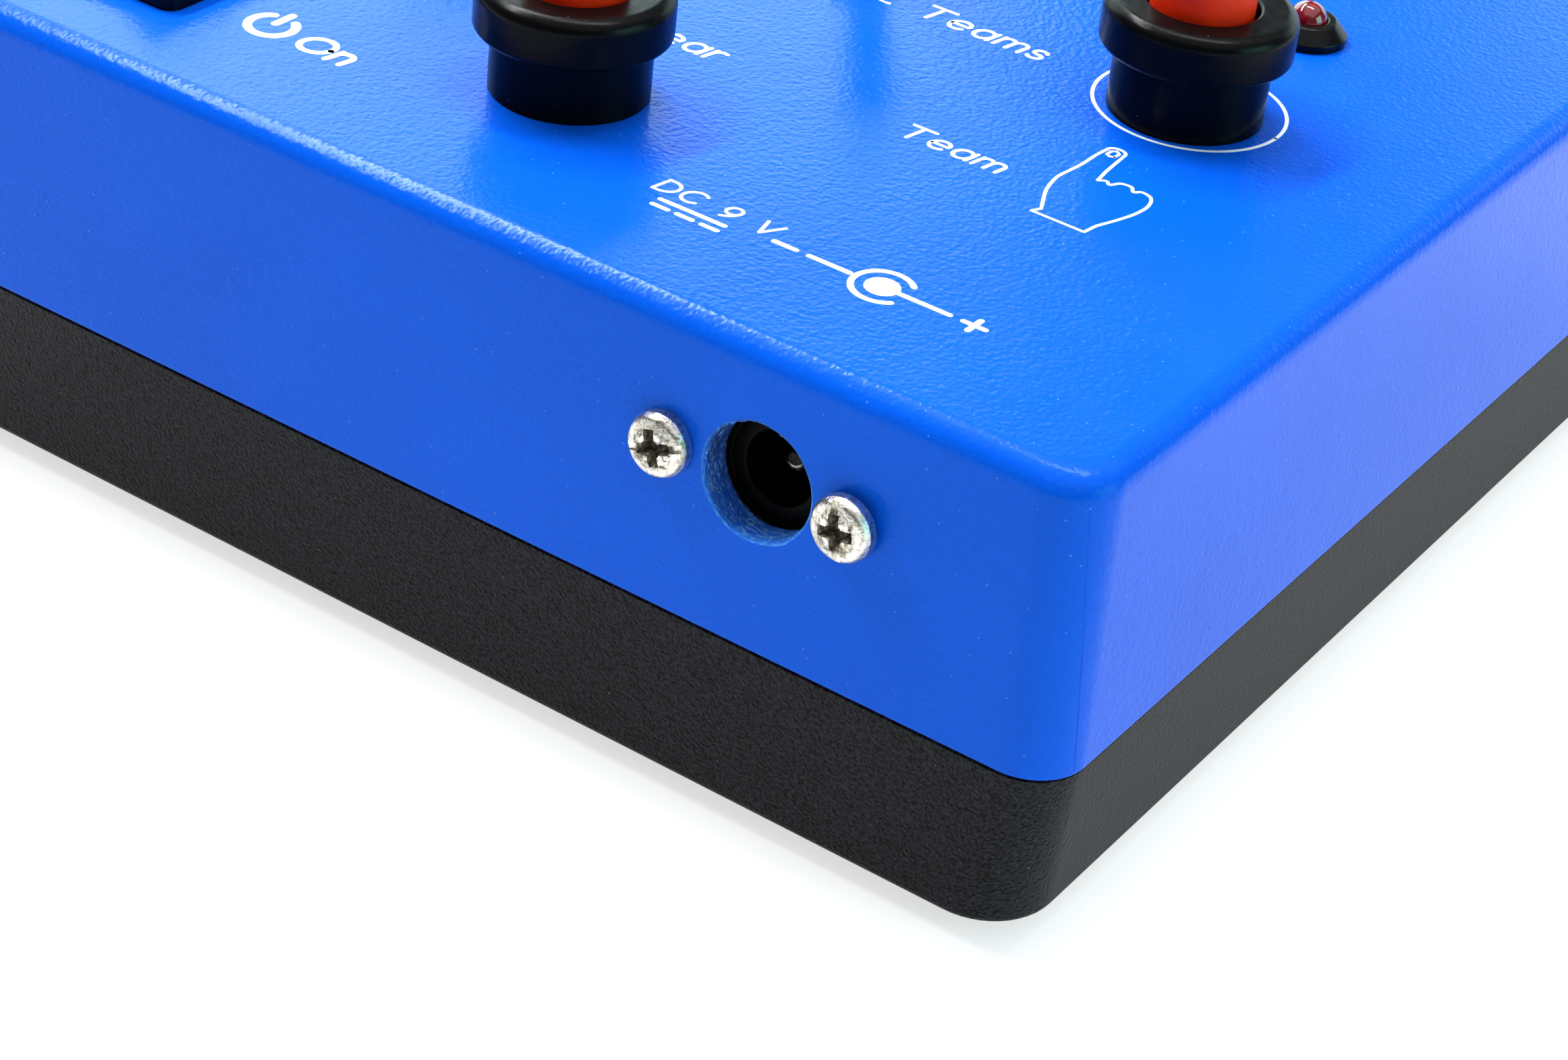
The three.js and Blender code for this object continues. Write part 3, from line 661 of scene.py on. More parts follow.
def shell_cutters():
    """Everything that is cut out of the shell: its inside and the holes through its panel."""
    radius = SHELL_CORNER - WALL
    cutters = [
        loft("cut_inside", [
            case_ring(WALL, radius, PARTING - 1),
            case_ring(WALL + wall_inset(PANEL_UNDER), radius, PANEL_UNDER),
        ])
    ]

    def hole(x, y, size):
        cutter = rod("cut_hole", size, PANEL_UNDER - 1, PANEL + 1)
        cutters.append(place(cutter, (x, y, 0)))

    for name in BUTTON_NAMES:
        at = centre(f"{name}_button_body")
        hole(at.x, at.y, NECK_HOLE)
    for side, _ in SIDES:
        at = centre(f"{side}_lamp_bezel")
        hole(at.x, at.y, LAMP_HOLE)
    at = centre("selector_body")
    hole(at.x, at.y, BUSHING_HOLE)
    at = centre("sounder")
    for k in range(7):
        x, y = polar(SOUNDER_REACH if k else 0, k * TAU / 6)
        hole(at.x + x, at.y + y, SOUNDER_HOLE)
    low, high = corners("rocker_frame")
    inset = Vector((FRAME_LAP, FRAME_LAP, 0))
    low, high = low + inset, high - inset
    cutters.append(
        box_mesh("cut_rocker", (low.x, low.y, PANEL_UNDER - 1), (high.x, high.y, PANEL + 1))
    )
    for side, _ in SIDES:
        at = centre(f"jack_screw_{side}")
        cutter = rod("cut_screw", SCREW_HOLE, -6, 6)
        cutters.append(place(cutter, (at.x, JACK_AT[1], JACK_Z), OUTWARD))
    return cutters


def drilled_cutter():
    """The inlet's hole, drilled by hand: its edge wanders a little and its mouth is broken."""
    sides = 72
    heights = (-6.0, -0.30, -0.12, 0.0, 2.0)
    flare = (0.0, 0.0, 0.07, 0.26, 0.40)
    rings = []
    for height, extra in zip(heights, flare):
        ring = []
        for k in range(sides):
            angle = TAU * k / sides
            spot = Vector((math.cos(angle) * 2.1, math.sin(angle) * 2.1, height * 0.4))
            wander = noise.noise(spot) * 0.10 + noise.noise(spot * 4) * 0.05
            radius = JACK_HOLE + wander + extra
            ring.append((*polar(radius, angle), height))
        rings.append(ring)
    return place(loft("cut_inlet", rings), JACK_AT, OUTWARD)


def paint_drilled_wall(shell):
    """Gives the faces inside the inlet's hole the torn-plastic finish, with its painted light."""
    shell.data.materials.append(SHELL_PAINT)
    shell.data.materials.append(HOLE_PAINT)
    inward = (Matrix.Translation(Vector(JACK_AT) * MM) @ OUTWARD.to_4x4()).inverted()
    for face in shell.data.polygons:
        spot = inward @ face.center / MM
        reach = math.hypot(spot.x, spot.y)
        on_wall = abs(reach - JACK_HOLE) < 0.45
        if on_wall and -WALL - 0.3 < spot.z < -0.01:
            face.material_index = 1


def build_shell():
    """The top shell, cut out, with its hand-drilled inlet hole."""
    shell = carve(shell_outside(), shell_cutters() + [drilled_cutter()])
    paint_drilled_wall(shell)
    even_normals(shell)
    dress(shell, SHELL_PAINT, "case", ["top_shell"])


def build_mould_lines():
    """The faint flash line that the mould left up each corner of the shell."""
    ridge = 0.035
    bottom, top = PARTING + 0.5, PANEL - RIM - 0.4
    bottom_angle, top_angle = math.radians(-16), math.radians(-40)
    section = ((-0.014, -0.03), (0.0, ridge), (0.014, -0.03))
    corner_signs = {
        "front_right": (1, 1),
        "front_left": (-1, 1),
        "back_right": (1, -1),
        "back_left": (-1, -1),
    }
    for name, (sx, sy) in corner_signs.items():
        rings = []
        for t in fractions(12):
            z = bottom + (top - bottom) * t
            inset = wall_inset(z)
            angle = bottom_angle + (top_angle - bottom_angle) * t
            ring = []
            for turn, out in section:
                reach = SHELL_CORNER + out
                x = HALF_X - inset - SHELL_CORNER + reach * math.cos(angle + turn)
                y = HALF_Y - inset - SHELL_CORNER - reach * math.sin(angle + turn)
                ring.append((sx * x, MIDDLE_Y - sy * y, z))
            rings.append(ring)
        dress(loft(f"mould_line_{name}", rings, 60), SHELL_PAINT, "case")


def build_hole_burrs():
    """Shreds of plastic left at the mouth of the drilled hole."""
    chance = random.Random(7)
    verts, faces = [], []
    for _ in range(64):
        angle = chance.uniform(0, TAU)
        lower_left = 0.5 - 0.5 * math.cos(angle - math.radians(45))
        if chance.random() > 0.25 + 0.75 * lower_left:
            continue
        length = chance.uniform(0.3, 1.5)
        depth = -chance.uniform(0.15, 2.4)
        thick = chance.uniform(0.04, 0.10)
        slope = chance.uniform(-0.4, 0.4)
        lift = chance.uniform(0.02, 0.14)
        steps = 6
        base = len(verts)
        for t in fractions(steps):
            turn = angle + (t - 0.5) * length / JACK_HOLE
            bulge = math.sin(t * math.pi)
            for radius, z in (
                (JACK_HOLE + 0.12, depth),
                (JACK_HOLE - lift * bulge - 0.02, depth + thick * bulge),
                (JACK_HOLE + 0.12, depth + 2 * thick * bulge + 0.01),
            ):
                verts.append((*polar(radius, turn), z + slope * (t - 0.5) * length))
        faces += ring_faces(3, steps + 1, base)
    burrs = place(new_object("inlet_burrs", verts, faces, 60), JACK_AT, OUTWARD)
    dress(burrs, HOLE_PAINT, "case")


def tray_outside():
    """The tray's skin: a shadow step under the shell, drafted walls and a rounded lower edge."""
    height = PARTING - TRAY_BOTTOM
    edge = 1.0
    rings = []
    for t in fractions(6):
        angle = t * math.pi / 2
        z = TRAY_BOTTOM + edge * (1 - math.cos(angle))
        lean = TRAY_DRAFT * (1 - (z - TRAY_BOTTOM) / height)
        inset = lean + edge * (1 - math.sin(angle))
        rings.append(case_ring(inset, TRAY_CORNER - edge * (1 - math.sin(angle)), z))
    rings.append(case_ring(SHADOW_STEP, SHELL_CORNER, PARTING - 0.35))
    rings.append(case_ring(SHADOW_STEP + 0.35, SHELL_CORNER - 0.2, PARTING - 0.05))
    return loft("tray_skin", rings)


def build_tray():
    """The bottom tray with its pockets and recesses, and the towers that the screws hold."""
    tray = tray_outside()
    lip = 2.5
    inset = WALL + GAP + lip
    cutters = [
        loft("cut_inside", [
            case_ring(inset, 2.0, FLOOR_INSIDE),
            case_ring(inset - 1, 1.5, PARTING + 1),
        ])
    ]
    pocket_top = TRAY_BOTTOM + POCKET_DEPTH
    recesses = (("case_screw", POCKET, pocket_top), ("rubber_foot", 6.15, TRAY_BOTTOM + 0.6))
    for k in CORNERS:
        for node, radius, top in recesses:
            at = centre(f"{node}_{k}")
            cutter = rod("cut_recess", radius, TRAY_BOTTOM - 1, top)
            cutters.append(place(cutter, (at.x, at.y, 0)))
    carve(tray, cutters)
    foot_of_tower = FLOOR_INSIDE - 0.5
    towers = []
    for k in CORNERS:
        screw = centre(f"case_screw_{k}")
        tower = lathe("tower", [
            (POCKET, foot_of_tower), (5, foot_of_tower), (5, PARTING, 0.3),
            (SCREW_HOLE, PARTING, 0.2), (SCREW_HOLE, pocket_top), (POCKET, pocket_top),
        ], 32)
        towers.append(place(tower, (screw.x, screw.y, 0)))
    posts = join("tray_towers", towers)
    even_normals(tray)
    dress(tray, TRAY_PAINT, "case", ["bottom_tray"])
    dress(posts, TRAY_PAINT, "case")


def build_feet():
    """Four round rubber feet, each with a shallow dish under it."""
    for k in CORNERS:
        node = f"rubber_foot_{k}"
        low, high = corners(node)
        radius = (high.x - low.x) / 2
        foot = lathe(f"foot_{k}", [
            (0, 0.35), (2.1, 0.35, 0.4), (2.6, 0, 0.3), (radius - 0.5, 0, 0.7),
            (radius, high.z, 0.2), (0, high.z),
        ], 64)
        at = centre(node)
        dress(place(foot, (at.x, at.y, low.z)), RUBBER_PAINT, "case", [node])


# ---------- screws ----------
def cross_cutter(head, rise, slotted):
    """A cross recess with tapered wings and a conical bottom, and a slot across it if wanted."""
    arm, half, deep = head * 0.66, head * 0.18, rise * 0.25
    wings = []
    above = rise + 0.3
    if slotted:
        reach, slot_half, slot_deep = head + 0.2, 0.34, 0.62
        low = (-reach, -slot_half, rise - slot_deep)
        wings.append(box_mesh("cut_slot", low, (reach, slot_half, above)))
    for turn in (0, math.pi / 2):
        c, s = math.cos(turn), math.sin(turn)
        rings = []
        for factor, z in ((0.5, deep), (1.0, above)):
            ring = []
            for x, y in ((-1, -1), (1, -1), (1, 1), (-1, 1)):
                px, py = x * arm * factor, y * half * (0.8 + 0.2 * factor)
                ring.append((px * c - py * s, px * s + py * c, z))
            rings.append(ring)
        wings.append(loft("cut_wing", rings))
    middle = lathe("cut_middle", [
        (0, rise * 0.05), (head * 0.10, rise * 0.15), (head * 0.36, above), (0, above),
    ], 24)
    return wings + [middle]


def cross_screw(name, shank, length, head, rise, sides=64, slotted=False):
    """A pan-head screw along Z with its seat at z = 0 and a real recess."""
    screw = lathe(name, [
        (0, -length), (shank * 0.7, -length, 0.2), (shank, -length + 1), (shank, 0, 0.1),
        (head - 0.12, 0), (head, 0.12, 0.08), (head, rise * 0.48, 0.3),
        (head * 0.90, rise * 0.80, 0.6), (head * 0.45, rise, 0.9), (0, rise),
    ], sides, 5, 50)
    return carve(screw, cross_cutter(head, rise, slotted), 40)


def build_jack_screws():
    """The two screws that hold the inlet. One sits a little prouder and cocked."""
    # How proud each one sits, its lift, and its turns about X, Y and Z in degrees.
    settings = {"left": (0.02, 0.0, (0.0, 0.0, 18)), "right": (0.40, 0.28, (2.2, -2.0, 100))}
    for side, _ in SIDES:
        node = f"jack_screw_{side}"
        proud, lift, turns = settings[side]
        screw = cross_screw(f"inlet_screw_{side}", SCREW_SHANK, 10.6, 2.78, JACK_HEAD, slotted=True)
        turn = OUTWARD
        for degrees, axis in zip(turns, "XYZ"):
            turn = turn @ Matrix.Rotation(math.radians(degrees), 3, axis)
        at = Vector((centre(node).x, *JACK_AT[1:])) + OUTWARD @ Vector((0, lift, proud))
        place(screw, at, turn)
        dress(screw, JACK_SCREW_PAINT, "case", [node])


def build_case_screws():
    """The four screws that go up through the tray, heads down."""
    for k in CORNERS:
        node = f"case_screw_{k}"
        low, high = corners(node)
        seat = low.z + CASE_HEAD
        screw = cross_screw(f"base_screw_{k}", SCREW_SHANK, high.z - seat, 2.8, CASE_HEAD, 40)
        at = centre(node)
        place(screw, (at.x, at.y, seat), Matrix.Rotation(math.pi, 3, "X"))
        dress(screw, CASE_SCREW_PAINT, "case", [node])


# ---------- push buttons ----------
def build_button(name):
    """A push button: a threaded neck, a barrel with a thicker collar, and the plunger in it."""
    body_node, plunger_node = f"{name}_button_body", f"{name}_button_plunger"
    at = centre(body_node)
    height, floor, neck, barrel, collar, bore = 10, -9, 6.0, 7.0, 8.6, 5.0
    stem, stem_hole, cap = 1.8, 2.2, 4.6
    zero = corners(body_node)[1].z - height
    seat = PANEL - zero - 0.01
    body = lathe(f"{name}_button_housing", [
        (stem_hole, floor - 2), (neck, floor - 2, 0.3), (neck, seat), (barrel, seat, 0.12),
        (barrel, 5.6, 0.25), (collar - 0.3, 5.6, 0.15), (collar, 5.95, 0.35),
        (collar, height, 1.25), (bore, height, 0.35), (bore, floor, 0.2), (stem_hole, floor),
    ], 160, 8)
    even_normals(body)
    dress(place(body, (at.x, at.y, zero)), BUTTON_PAINT, "case", [body_node])
    plunger = lathe(f"{name}_button_cap", [
        (0, -12.6), (2.9, -12.6, 0.2), (2.9, -11.3, 0.1), (stem, -11.3), (stem, -3, 0.2),
        (cap, -3, 0.3), (cap, 13.0, 0.9), (3.4, 13.55, 1.5), (0, 13.6),
    ], 128, 7)
    even_normals(plunger)
    place(plunger, (at.x, at.y, zero))
    dress(plunger, PLUNGER_PAINT, f"{name}_plunger", [plunger_node])
    build_spring(name, at, zero)


def tube(name, path, radius, sides=10):
    """A round wire along a path, closed at its ends."""
    rings = []
    for i, point in enumerate(path):
        ahead = Vector(path[min(i + 1, len(path) - 1)]) - Vector(path[max(i - 1, 0)])
        ahead.normalize()
        side = ahead.cross(Vector((0, 0, 1))).normalized()
        up = side.cross(ahead)
        ring = []
        for k in range(sides):
            angle = TAU * k / sides
            ring.append(Vector(point) + radius * (math.cos(angle) * side + math.sin(angle) * up))
        rings.append(ring)
    return loft(name, rings, 60)


def build_spring(name, at, zero):
    """The return spring under the plunger."""
    low, high, radius, turns = -8.6, -3.4, 3.4, 6
    path = []
    for t in fractions(150):
        path.append((*polar(radius, turns * TAU * t), low + (high - low) * t))
    spring = place(tube(f"{name}_button_coil", path, 0.22), (at.x, at.y, zero))
    dress(spring, CASE_SCREW_PAINT, "case", [f"{name}_button_spring"])
    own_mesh(spring)


# ---------- lamps ----------
def build_lamp(side):
    """A lamp: its conical holder, its lens and the metal cup that shows through the lens."""
    bezel_node, lens_node = f"{side}_lamp_bezel", f"{side}_lamp_lens"
    at = centre(bezel_node)
    spot = (at.x, at.y, PANEL)
    bore = LENS_RADIUS + 0.06
    bezel = lathe(f"{side}_lamp_holder", [
        (bore, -4), (2.8, -4, 0.2), (2.8, 0.01), (BEZEL_RADIUS, 0.01, 0.08),
        (BEZEL_RADIUS, 0.72, 0.18), (2.72, 1.98, 0.40), (bore, 1.98, 0.18),
    ], 96, 6)
    even_normals(bezel)
    dress(place(bezel, spot), BEZEL_PAINT, "case", [bezel_node])
    dome, foot, lip = 3.5, -6, 2.4
    shoulder = dome - LENS_RADIUS
    profile = [(0, foot), (lip, foot, 0.1), (lip, foot + 1, 0.1), (LENS_RADIUS, foot + 1)]
    profile.append((LENS_RADIUS, shoulder))
    for t in fractions(12)[1:]:
        angle = t * math.pi / 2
        radius = 0 if t == 1 else LENS_RADIUS * math.cos(angle)
        profile.append((radius, shoulder + LENS_RADIUS * math.sin(angle)))
    lens = lathe(f"{side}_lamp_dome", profile, 72)
    dress(place(lens, spot), LENS_PAINT, "case", [lens_node])
    cup = lathe(f"{side}_lamp_cup", [
        (0, -4.6), (0.9, -4.6, 0.1), (1.15, -0.3, 0.15), (0.8, -0.3, 0.1), (0.4, -0.9, 0.1),
        (0, -0.9),
    ], 32)
    dress(place(cup, spot), SELECTOR_PAINT, "case")


# ---------- power rocker ----------
def build_rocker():
    """The power rocker: a rounded flange on the panel, the housing under it and the paddle."""
    low, high = corners("rocker_frame")
    at = (low + high) / 2
    half = ((high.x - low.x) / 2, (high.y - low.y) / 2)
    wall, edge, corner = 1.5, 0.7, 1.5
    rings = [rounded_ring((0, 0), half, corner, 0.01, 8)]
    for t in fractions(6):
        angle = t * math.pi / 2
        inset = edge * (1 - math.cos(angle))
        shrunk = (half[0] - inset, half[1] - inset)
        z = wall + edge * math.sin(angle)
        rings.append(rounded_ring((0, 0), shrunk, corner - inset * 0.8, z, 8))
    flange = loft("rocker_bezel", rings)
    well_x, well_y = 8.4, 5.4
    well = loft("cut_well", [
        rounded_ring((0, 0), (well_x, well_y), 0.5, -1, 5),
        rounded_ring((0, 0), (well_x, well_y), 0.5, 1.7, 5),
        rounded_ring((0, 0), (well_x + 0.5, well_y + 0.5), 0.9, 2.4, 5),
    ])
    carve(flange, [well])
    even_normals(flange)
    spot = (at.x, at.y, PANEL)
    dress(place(flange, spot), BEZEL_PAINT, "case")
    housing = box_mesh("rocker_housing", (-9.3, -6.3, -14), (9.3, 6.3, 0.3), 0.3)
    carve(housing, [box_mesh("cut_well", (-well_x, -well_y, -12), (well_x, well_y, 3))])
    dress(place(housing, spot), MOULDED_PAINT, "case", ["rocker_frame"])
    build_paddle(spot)


def build_paddle(spot):
    """The rocking cap: two dished halves over a round belly, with moulded on and off marks."""
    tilt = Matrix.Rotation(math.radians(-9), 3, "Y")
    dished, steps, belly = 6.4, 10, 5.2
    outline = [(-7.6, 1.2, 0.3), (-7.3, 3.9, 0.5)]
    for k in range(steps + 1):
        x = -dished + 2 * dished * k / steps
        dish = 0.22 * math.sin(abs(x) / dished * math.pi)
        outline.append((x, 2.6 + 1.6 * (abs(x) / 6.6) - dish))
    outline += [(7.3, 3.9, 0.5), (7.6, 1.2, 0.3)]
    for angle in (-35, -50, -65, -80, -100, -115, -130, -145):
        outline.append(polar(belly, math.radians(angle)))
    paddle = prism("rocker_cap", soften(outline, 4, True), -5.05, 5.05)
    paddle.data.transform(Matrix.Rotation(math.pi / 2, 4, "X"))
    edge = paddle.modifiers.new("edge", "BEVEL")
    edge.width = 0.25 * MM
    edge.segments = 3
    edge.limit_method = "ANGLE"
    edge.angle_limit = math.radians(60)
    even_normals(paddle)
    dress(place(paddle, spot, tilt), MOULDED_PAINT, "rocker", ["rocker_paddle"])
    height = 3.36
    for name, x, strokes in (
        ("rocker_mark_off", 3.9, [arc(0, 0, 0.75, 1.1, 0, 360)]),
        ("rocker_mark_on", -3.9, [[(0, -1.2), (0, 1.2)]]),
    ):
        mark = strokes_mesh(name, strokes, 0.35, 0.06)
        slope = Matrix.Rotation(math.radians(-13 if x > 0 else 13), 3, "Y")
        local = tilt @ Vector((x, 0, height))
        place(mark, Vector(spot) + local, tilt @ slope)
        dress(mark, INK_PAINT, "rocker")


# ---------- team selector ----------
def build_selector():
    """The team selector: a threaded bushing, its case and nut, and the lever with its sleeve."""
    body_at = centre("selector_body")
    spot = (body_at.x, body_at.y, PANEL)
    bore, crest, root, pitch, low_z, high_z = 2.2, 3.0, 2.72, 0.6, 0.2, 6.2
    profile = [(bore, -2), (bore, -4), (crest, -4)]
    for k in range(int((high_z - low_z) / pitch)):
        z = low_z + k * pitch
        profile += [(root, z), (crest, z + pitch * 0.42), (crest, z + pitch * 0.55)]
    profile += [(2.75, high_z + 0.1, 0.1), (2.6, high_z + 0.3, 0.1), (bore, high_z + 0.3, 0.15)]
    bushing = lathe("selector_bushing", profile, 72)
    dress(place(bushing, spot), SELECTOR_PAINT, "case")
    case = box_mesh("selector_case", (-6.5, -4, -13.3), (6.5, 4, -3.3), 0.25)
    dress(place(case, spot), MOULDED_PAINT, "case", ["selector_body"])

    nut = prism("selector_locknut", hexagon(8), 0.01, 2.2)
    washer = lathe("cut_nut", [(4.15, 3), (4.15, 1.9), (4.9, 1.55), (4.9, 3)], 96)
    carve(nut, [rod("cut_bore", crest + 0.05, -1, 4, 72), washer])
    even_normals(nut)
    dress(place(nut, spot), SELECTOR_PAINT, "case", ["selector_nut"])

    tilt = Matrix.Rotation(math.radians(12), 3, "Y")
    pivot = (spot[0], spot[1], PANEL + 3.5)
    lever = lathe("selector_bat", [
        (0, -4.4), (0.7, -4.4, 0.2), (1.0, -2, 0.5), (1.5, -0.8, 0.4), (1.5, 0.8, 0.4),
        (1.0, 2, 0.5), (1.25, 12.0, 0.3), (0, 12.6),
    ], 48)
    lever.data.transform(tilt.to_4x4())
    dress(place(lever, pivot), SELECTOR_PAINT, "selector", ["selector_lever"])
    sleeve = lathe("selector_grip", [
        (0, 13.1), (1.4, 12.6), (1.4, 4.4, 0.1), (1.95, 4.4, 0.2), (2.1, 6.0, 0.5),
        (2.4, 12.55, 0.6), (1.65, 13.7, 0.5), (0, 13.98),
    ], 72, 6)
    sleeve.data.transform(tilt.to_4x4())
    even_normals(sleeve)
    dress(place(sleeve, pivot), BEZEL_PAINT, "selector", ["selector_sleeve"])


# ---------- power inlet ----------
def build_inlet():
    """The power socket behind its hole: a ringed shell, the flange it hangs on and the pin."""
    face = -WALL - GAP
    back = face - 12
    bore, groove_in, groove_out, outside, pin_hole, pin_radius = 3.2, 4.35, 4.55, 5.2, 1.3, 1.0
    shell = lathe("inlet_socket", [
        (bore, face, 0.15), (groove_in, face, 0.1), (groove_in, face - 0.3, 0.05),
        (groove_out, face - 0.3, 0.05), (groove_out, face, 0.1), (outside, face, 0.2),
        (outside, back, 0.2), (pin_hole, back), (pin_hole, back + 2), (bore, back + 2),
    ], 96)
    dress(place(shell, JACK_AT, OUTWARD), INLET_PAINT, "case")
    ears = box_mesh("inlet_flange", (-12, -5.4, face - 2.2), (12, 5.4, face - 0.02), 0.2)
    cutters = [rod("cut_bore", JACK_HOLE, face - 5, face + 3)]
    for _, sign in SIDES:
        cutters.append(place(rod("cut_screw", SCREW_HOLE, face - 5, face + 3), (sign * 8.8, 0, 0)))
    carve(ears, cutters)
    dress(place(ears, JACK_AT, OUTWARD), MOULDED_PAINT, "case", ["jack_body"])
    pin = lathe("inlet_pin", [
        (0, back - 3), (pin_radius, back - 3, 0.2), (pin_radius, face - 1.9, 0.75),
        (0, face - 1.9),
    ], 48, 8)
    dress(place(pin, JACK_AT, OUTWARD), PIN_PAINT, "case", ["jack_pin"])


# ---------- printed marks ----------
def arc(x, y, rx, ry, start, end, steps=22):
    """Points along an ellipse, with angles in degrees."""
    points = []
    for k in range(steps + 1):
        angle = math.radians(start + (end - start) * k / steps)
        points.append((x + rx * math.cos(angle), y + ry * math.sin(angle)))
    return points


def ribbon(points, width, low, high, seed):
    """A raised stroke with round ends along a line of (x, y) points."""
    line = [Vector(p) for p in points]
    count = len(line)
    left, right = [], []
    for i, point in enumerate(line):
        along = line[min(i + 1, count - 1)] - line[max(i - 1, 0)]
        if i in (0, count - 1) and (line[0] - line[-1]).length < 1e-6:
            along = line[1] - line[-2]
        along.normalize()
        side = Vector((-along.y, along.x))
        rough = 1 + 0.10 * noise.noise(Vector((point.x * 2.3, point.y * 2.3, seed)))
        left.append(point + side * width / 2 * rough)
        right.append(point - side * width / 2 * rough)
    verts, faces = [], []
    for pair in zip(left, right):
        verts += [(*point, z) for z in (high, low) for point in pair]
    for a in range(0, 4 * count - 4, 4):
        b = a + 4
        faces += [(a, a + 1, b + 1, b), (a, b, b + 2, a + 2), (a + 1, a + 3, b + 3, b + 1)]
    steps = 8
    last = 4 * count - 4
    for end, inner, start, stop in ((0, 1, 1, 0), (count - 1, count - 2, last, last + 1)):
        away = (line[end] - line[inner]).normalized()
        side = Vector((-away.y, away.x))
        ring, lower = [start], [start + 2]
        for k in range(1, steps):
            angle = math.pi * k / steps
            point = line[end] + width / 2 * (math.cos(angle) * side + math.sin(angle) * away)
            ring.append(len(verts))
            lower.append(len(verts) + 1)
            verts += [(*point, high), (*point, low)]
        ring.append(stop)
        lower.append(stop + 2)
        faces.append(ring)
        faces += [(ring[k], ring[k + 1], lower[k + 1], lower[k]) for k in range(steps)]
    return verts, faces


def strokes_mesh(name, strokes, width, height):
    """Raised strokes as one mesh. Each lies a hair above the one before it."""
    verts, faces = [], []
    for k, stroke in enumerate(strokes):
        new_verts, new_faces = ribbon(stroke, width, -0.02, height + 0.0012 * (k % 9), k)
        offset = len(verts)
        verts += new_verts
        faces += [[index + offset for index in face] for face in new_faces]
    mesh = bpy.data.meshes.new(name)
    mesh.from_pydata([Vector(v) * MM for v in verts], [], faces)
    work = bmesh.new()
    work.from_mesh(mesh)
    bmesh.ops.recalc_face_normals(work, faces=work.faces)
    work.to_mesh(mesh)
    work.free()
    return linked(name, mesh)


# Plain one-line letters: strokes on a grid where a capital is 1 high, and their width.
GLYPHS = {
    "T": ([[(0, 1), (0.82, 1)], [(0.41, 1), (0.41, 0)]], 0.82),
    "C": ([arc(0.45, 0.5, 0.44, 0.5, 48, 312)], 0.80),
    "D": ([[(0, 0), (0, 1)], [(0, 1), *arc(0.22, 0.5, 0.5, 0.5, 90, -90), (0, 0)]], 0.74),
    "V": ([[(0, 1), (0.36, 0)], [(0.36, 0), (0.72, 1)]], 0.72),
    "O": ([arc(0.47, 0.5, 0.46, 0.5, 0, 360, 36)], 0.94),
    "e": ([[(0.03, 0.37), *arc(0.32, 0.35, 0.31, 0.35, 3, 315)]], 0.62),
    "a": ([arc(0.30, 0.35, 0.29, 0.35, 0, 360), [(0.60, 0.70), (0.60, 0.0)]], 0.60),
    "m": ([
        [(0, 0), (0, 0.7)], [*arc(0.21, 0.46, 0.21, 0.24, 180, 0), (0.42, 0)],
        [*arc(0.63, 0.46, 0.21, 0.24, 180, 0), (0.84, 0)],
    ], 0.84),
    "n": ([[(0, 0), (0, 0.7)], [*arc(0.24, 0.46, 0.24, 0.24, 180, 0), (0.48, 0)]], 0.48),
    "s": ([
        [*arc(0.22, 0.53, 0.19, 0.17, 25, 270), *arc(0.22, 0.18, 0.21, 0.18, 90, -155)],
    ], 0.44),
    "l": ([[(0, 0), (0, 1)]], 0.02),
    "r": ([[(0, 0), (0, 0.7)], arc(0.24, 0.42, 0.24, 0.28, 180, 65)], 0.34),
    "1": ([[(0, 0.76), (0.24, 1), (0.24, 0)]], 0.26),
    "2": ([[*arc(0.31, 0.70, 0.29, 0.30, 165, -35), (0, 0), (0.64, 0)]], 0.64),
    "9": ([arc(0.30, 0.69, 0.28, 0.31, 0, 360), arc(-0.12, 0.69, 0.70, 0.70, 0, -66)], 0.60),
    " ": ([], 0.42),
}
SPACING = 0.27
STRETCH = 1.12
SLANT = 0.17


def shifted(strokes, x, y):
    return [[(px + x, py + y) for px, py in stroke] for stroke in strokes]


def lettering(text, size):
    """The strokes of a short label that starts at the origin, and its length."""
    strokes, cursor = [], 0
    for letter in text:
        glyph, width = GLYPHS[letter]
        for stroke in glyph:
            line = [((cursor + x * STRETCH + SLANT * y) * size, y * size) for x, y in stroke]
            strokes.append(line)
        cursor += width * STRETCH + SPACING
    return strokes, (cursor - SPACING) * size


def label(name, text, size, x, y, width, anchor="left"):
    """A label printed on the panel. x is its left end, its middle or its right end."""
    strokes, length = lettering(text, size)
    start = x - {"left": 0, "middle": length / 2, "right": length}[anchor]
    print_marks(name, shifted(strokes, start, y), width)


def print_marks(name, strokes, width):
    mark = place(strokes_mesh(name, strokes, width, 0.025), (0, 0, PANEL))
    dress(mark, INK_PAINT, "case")


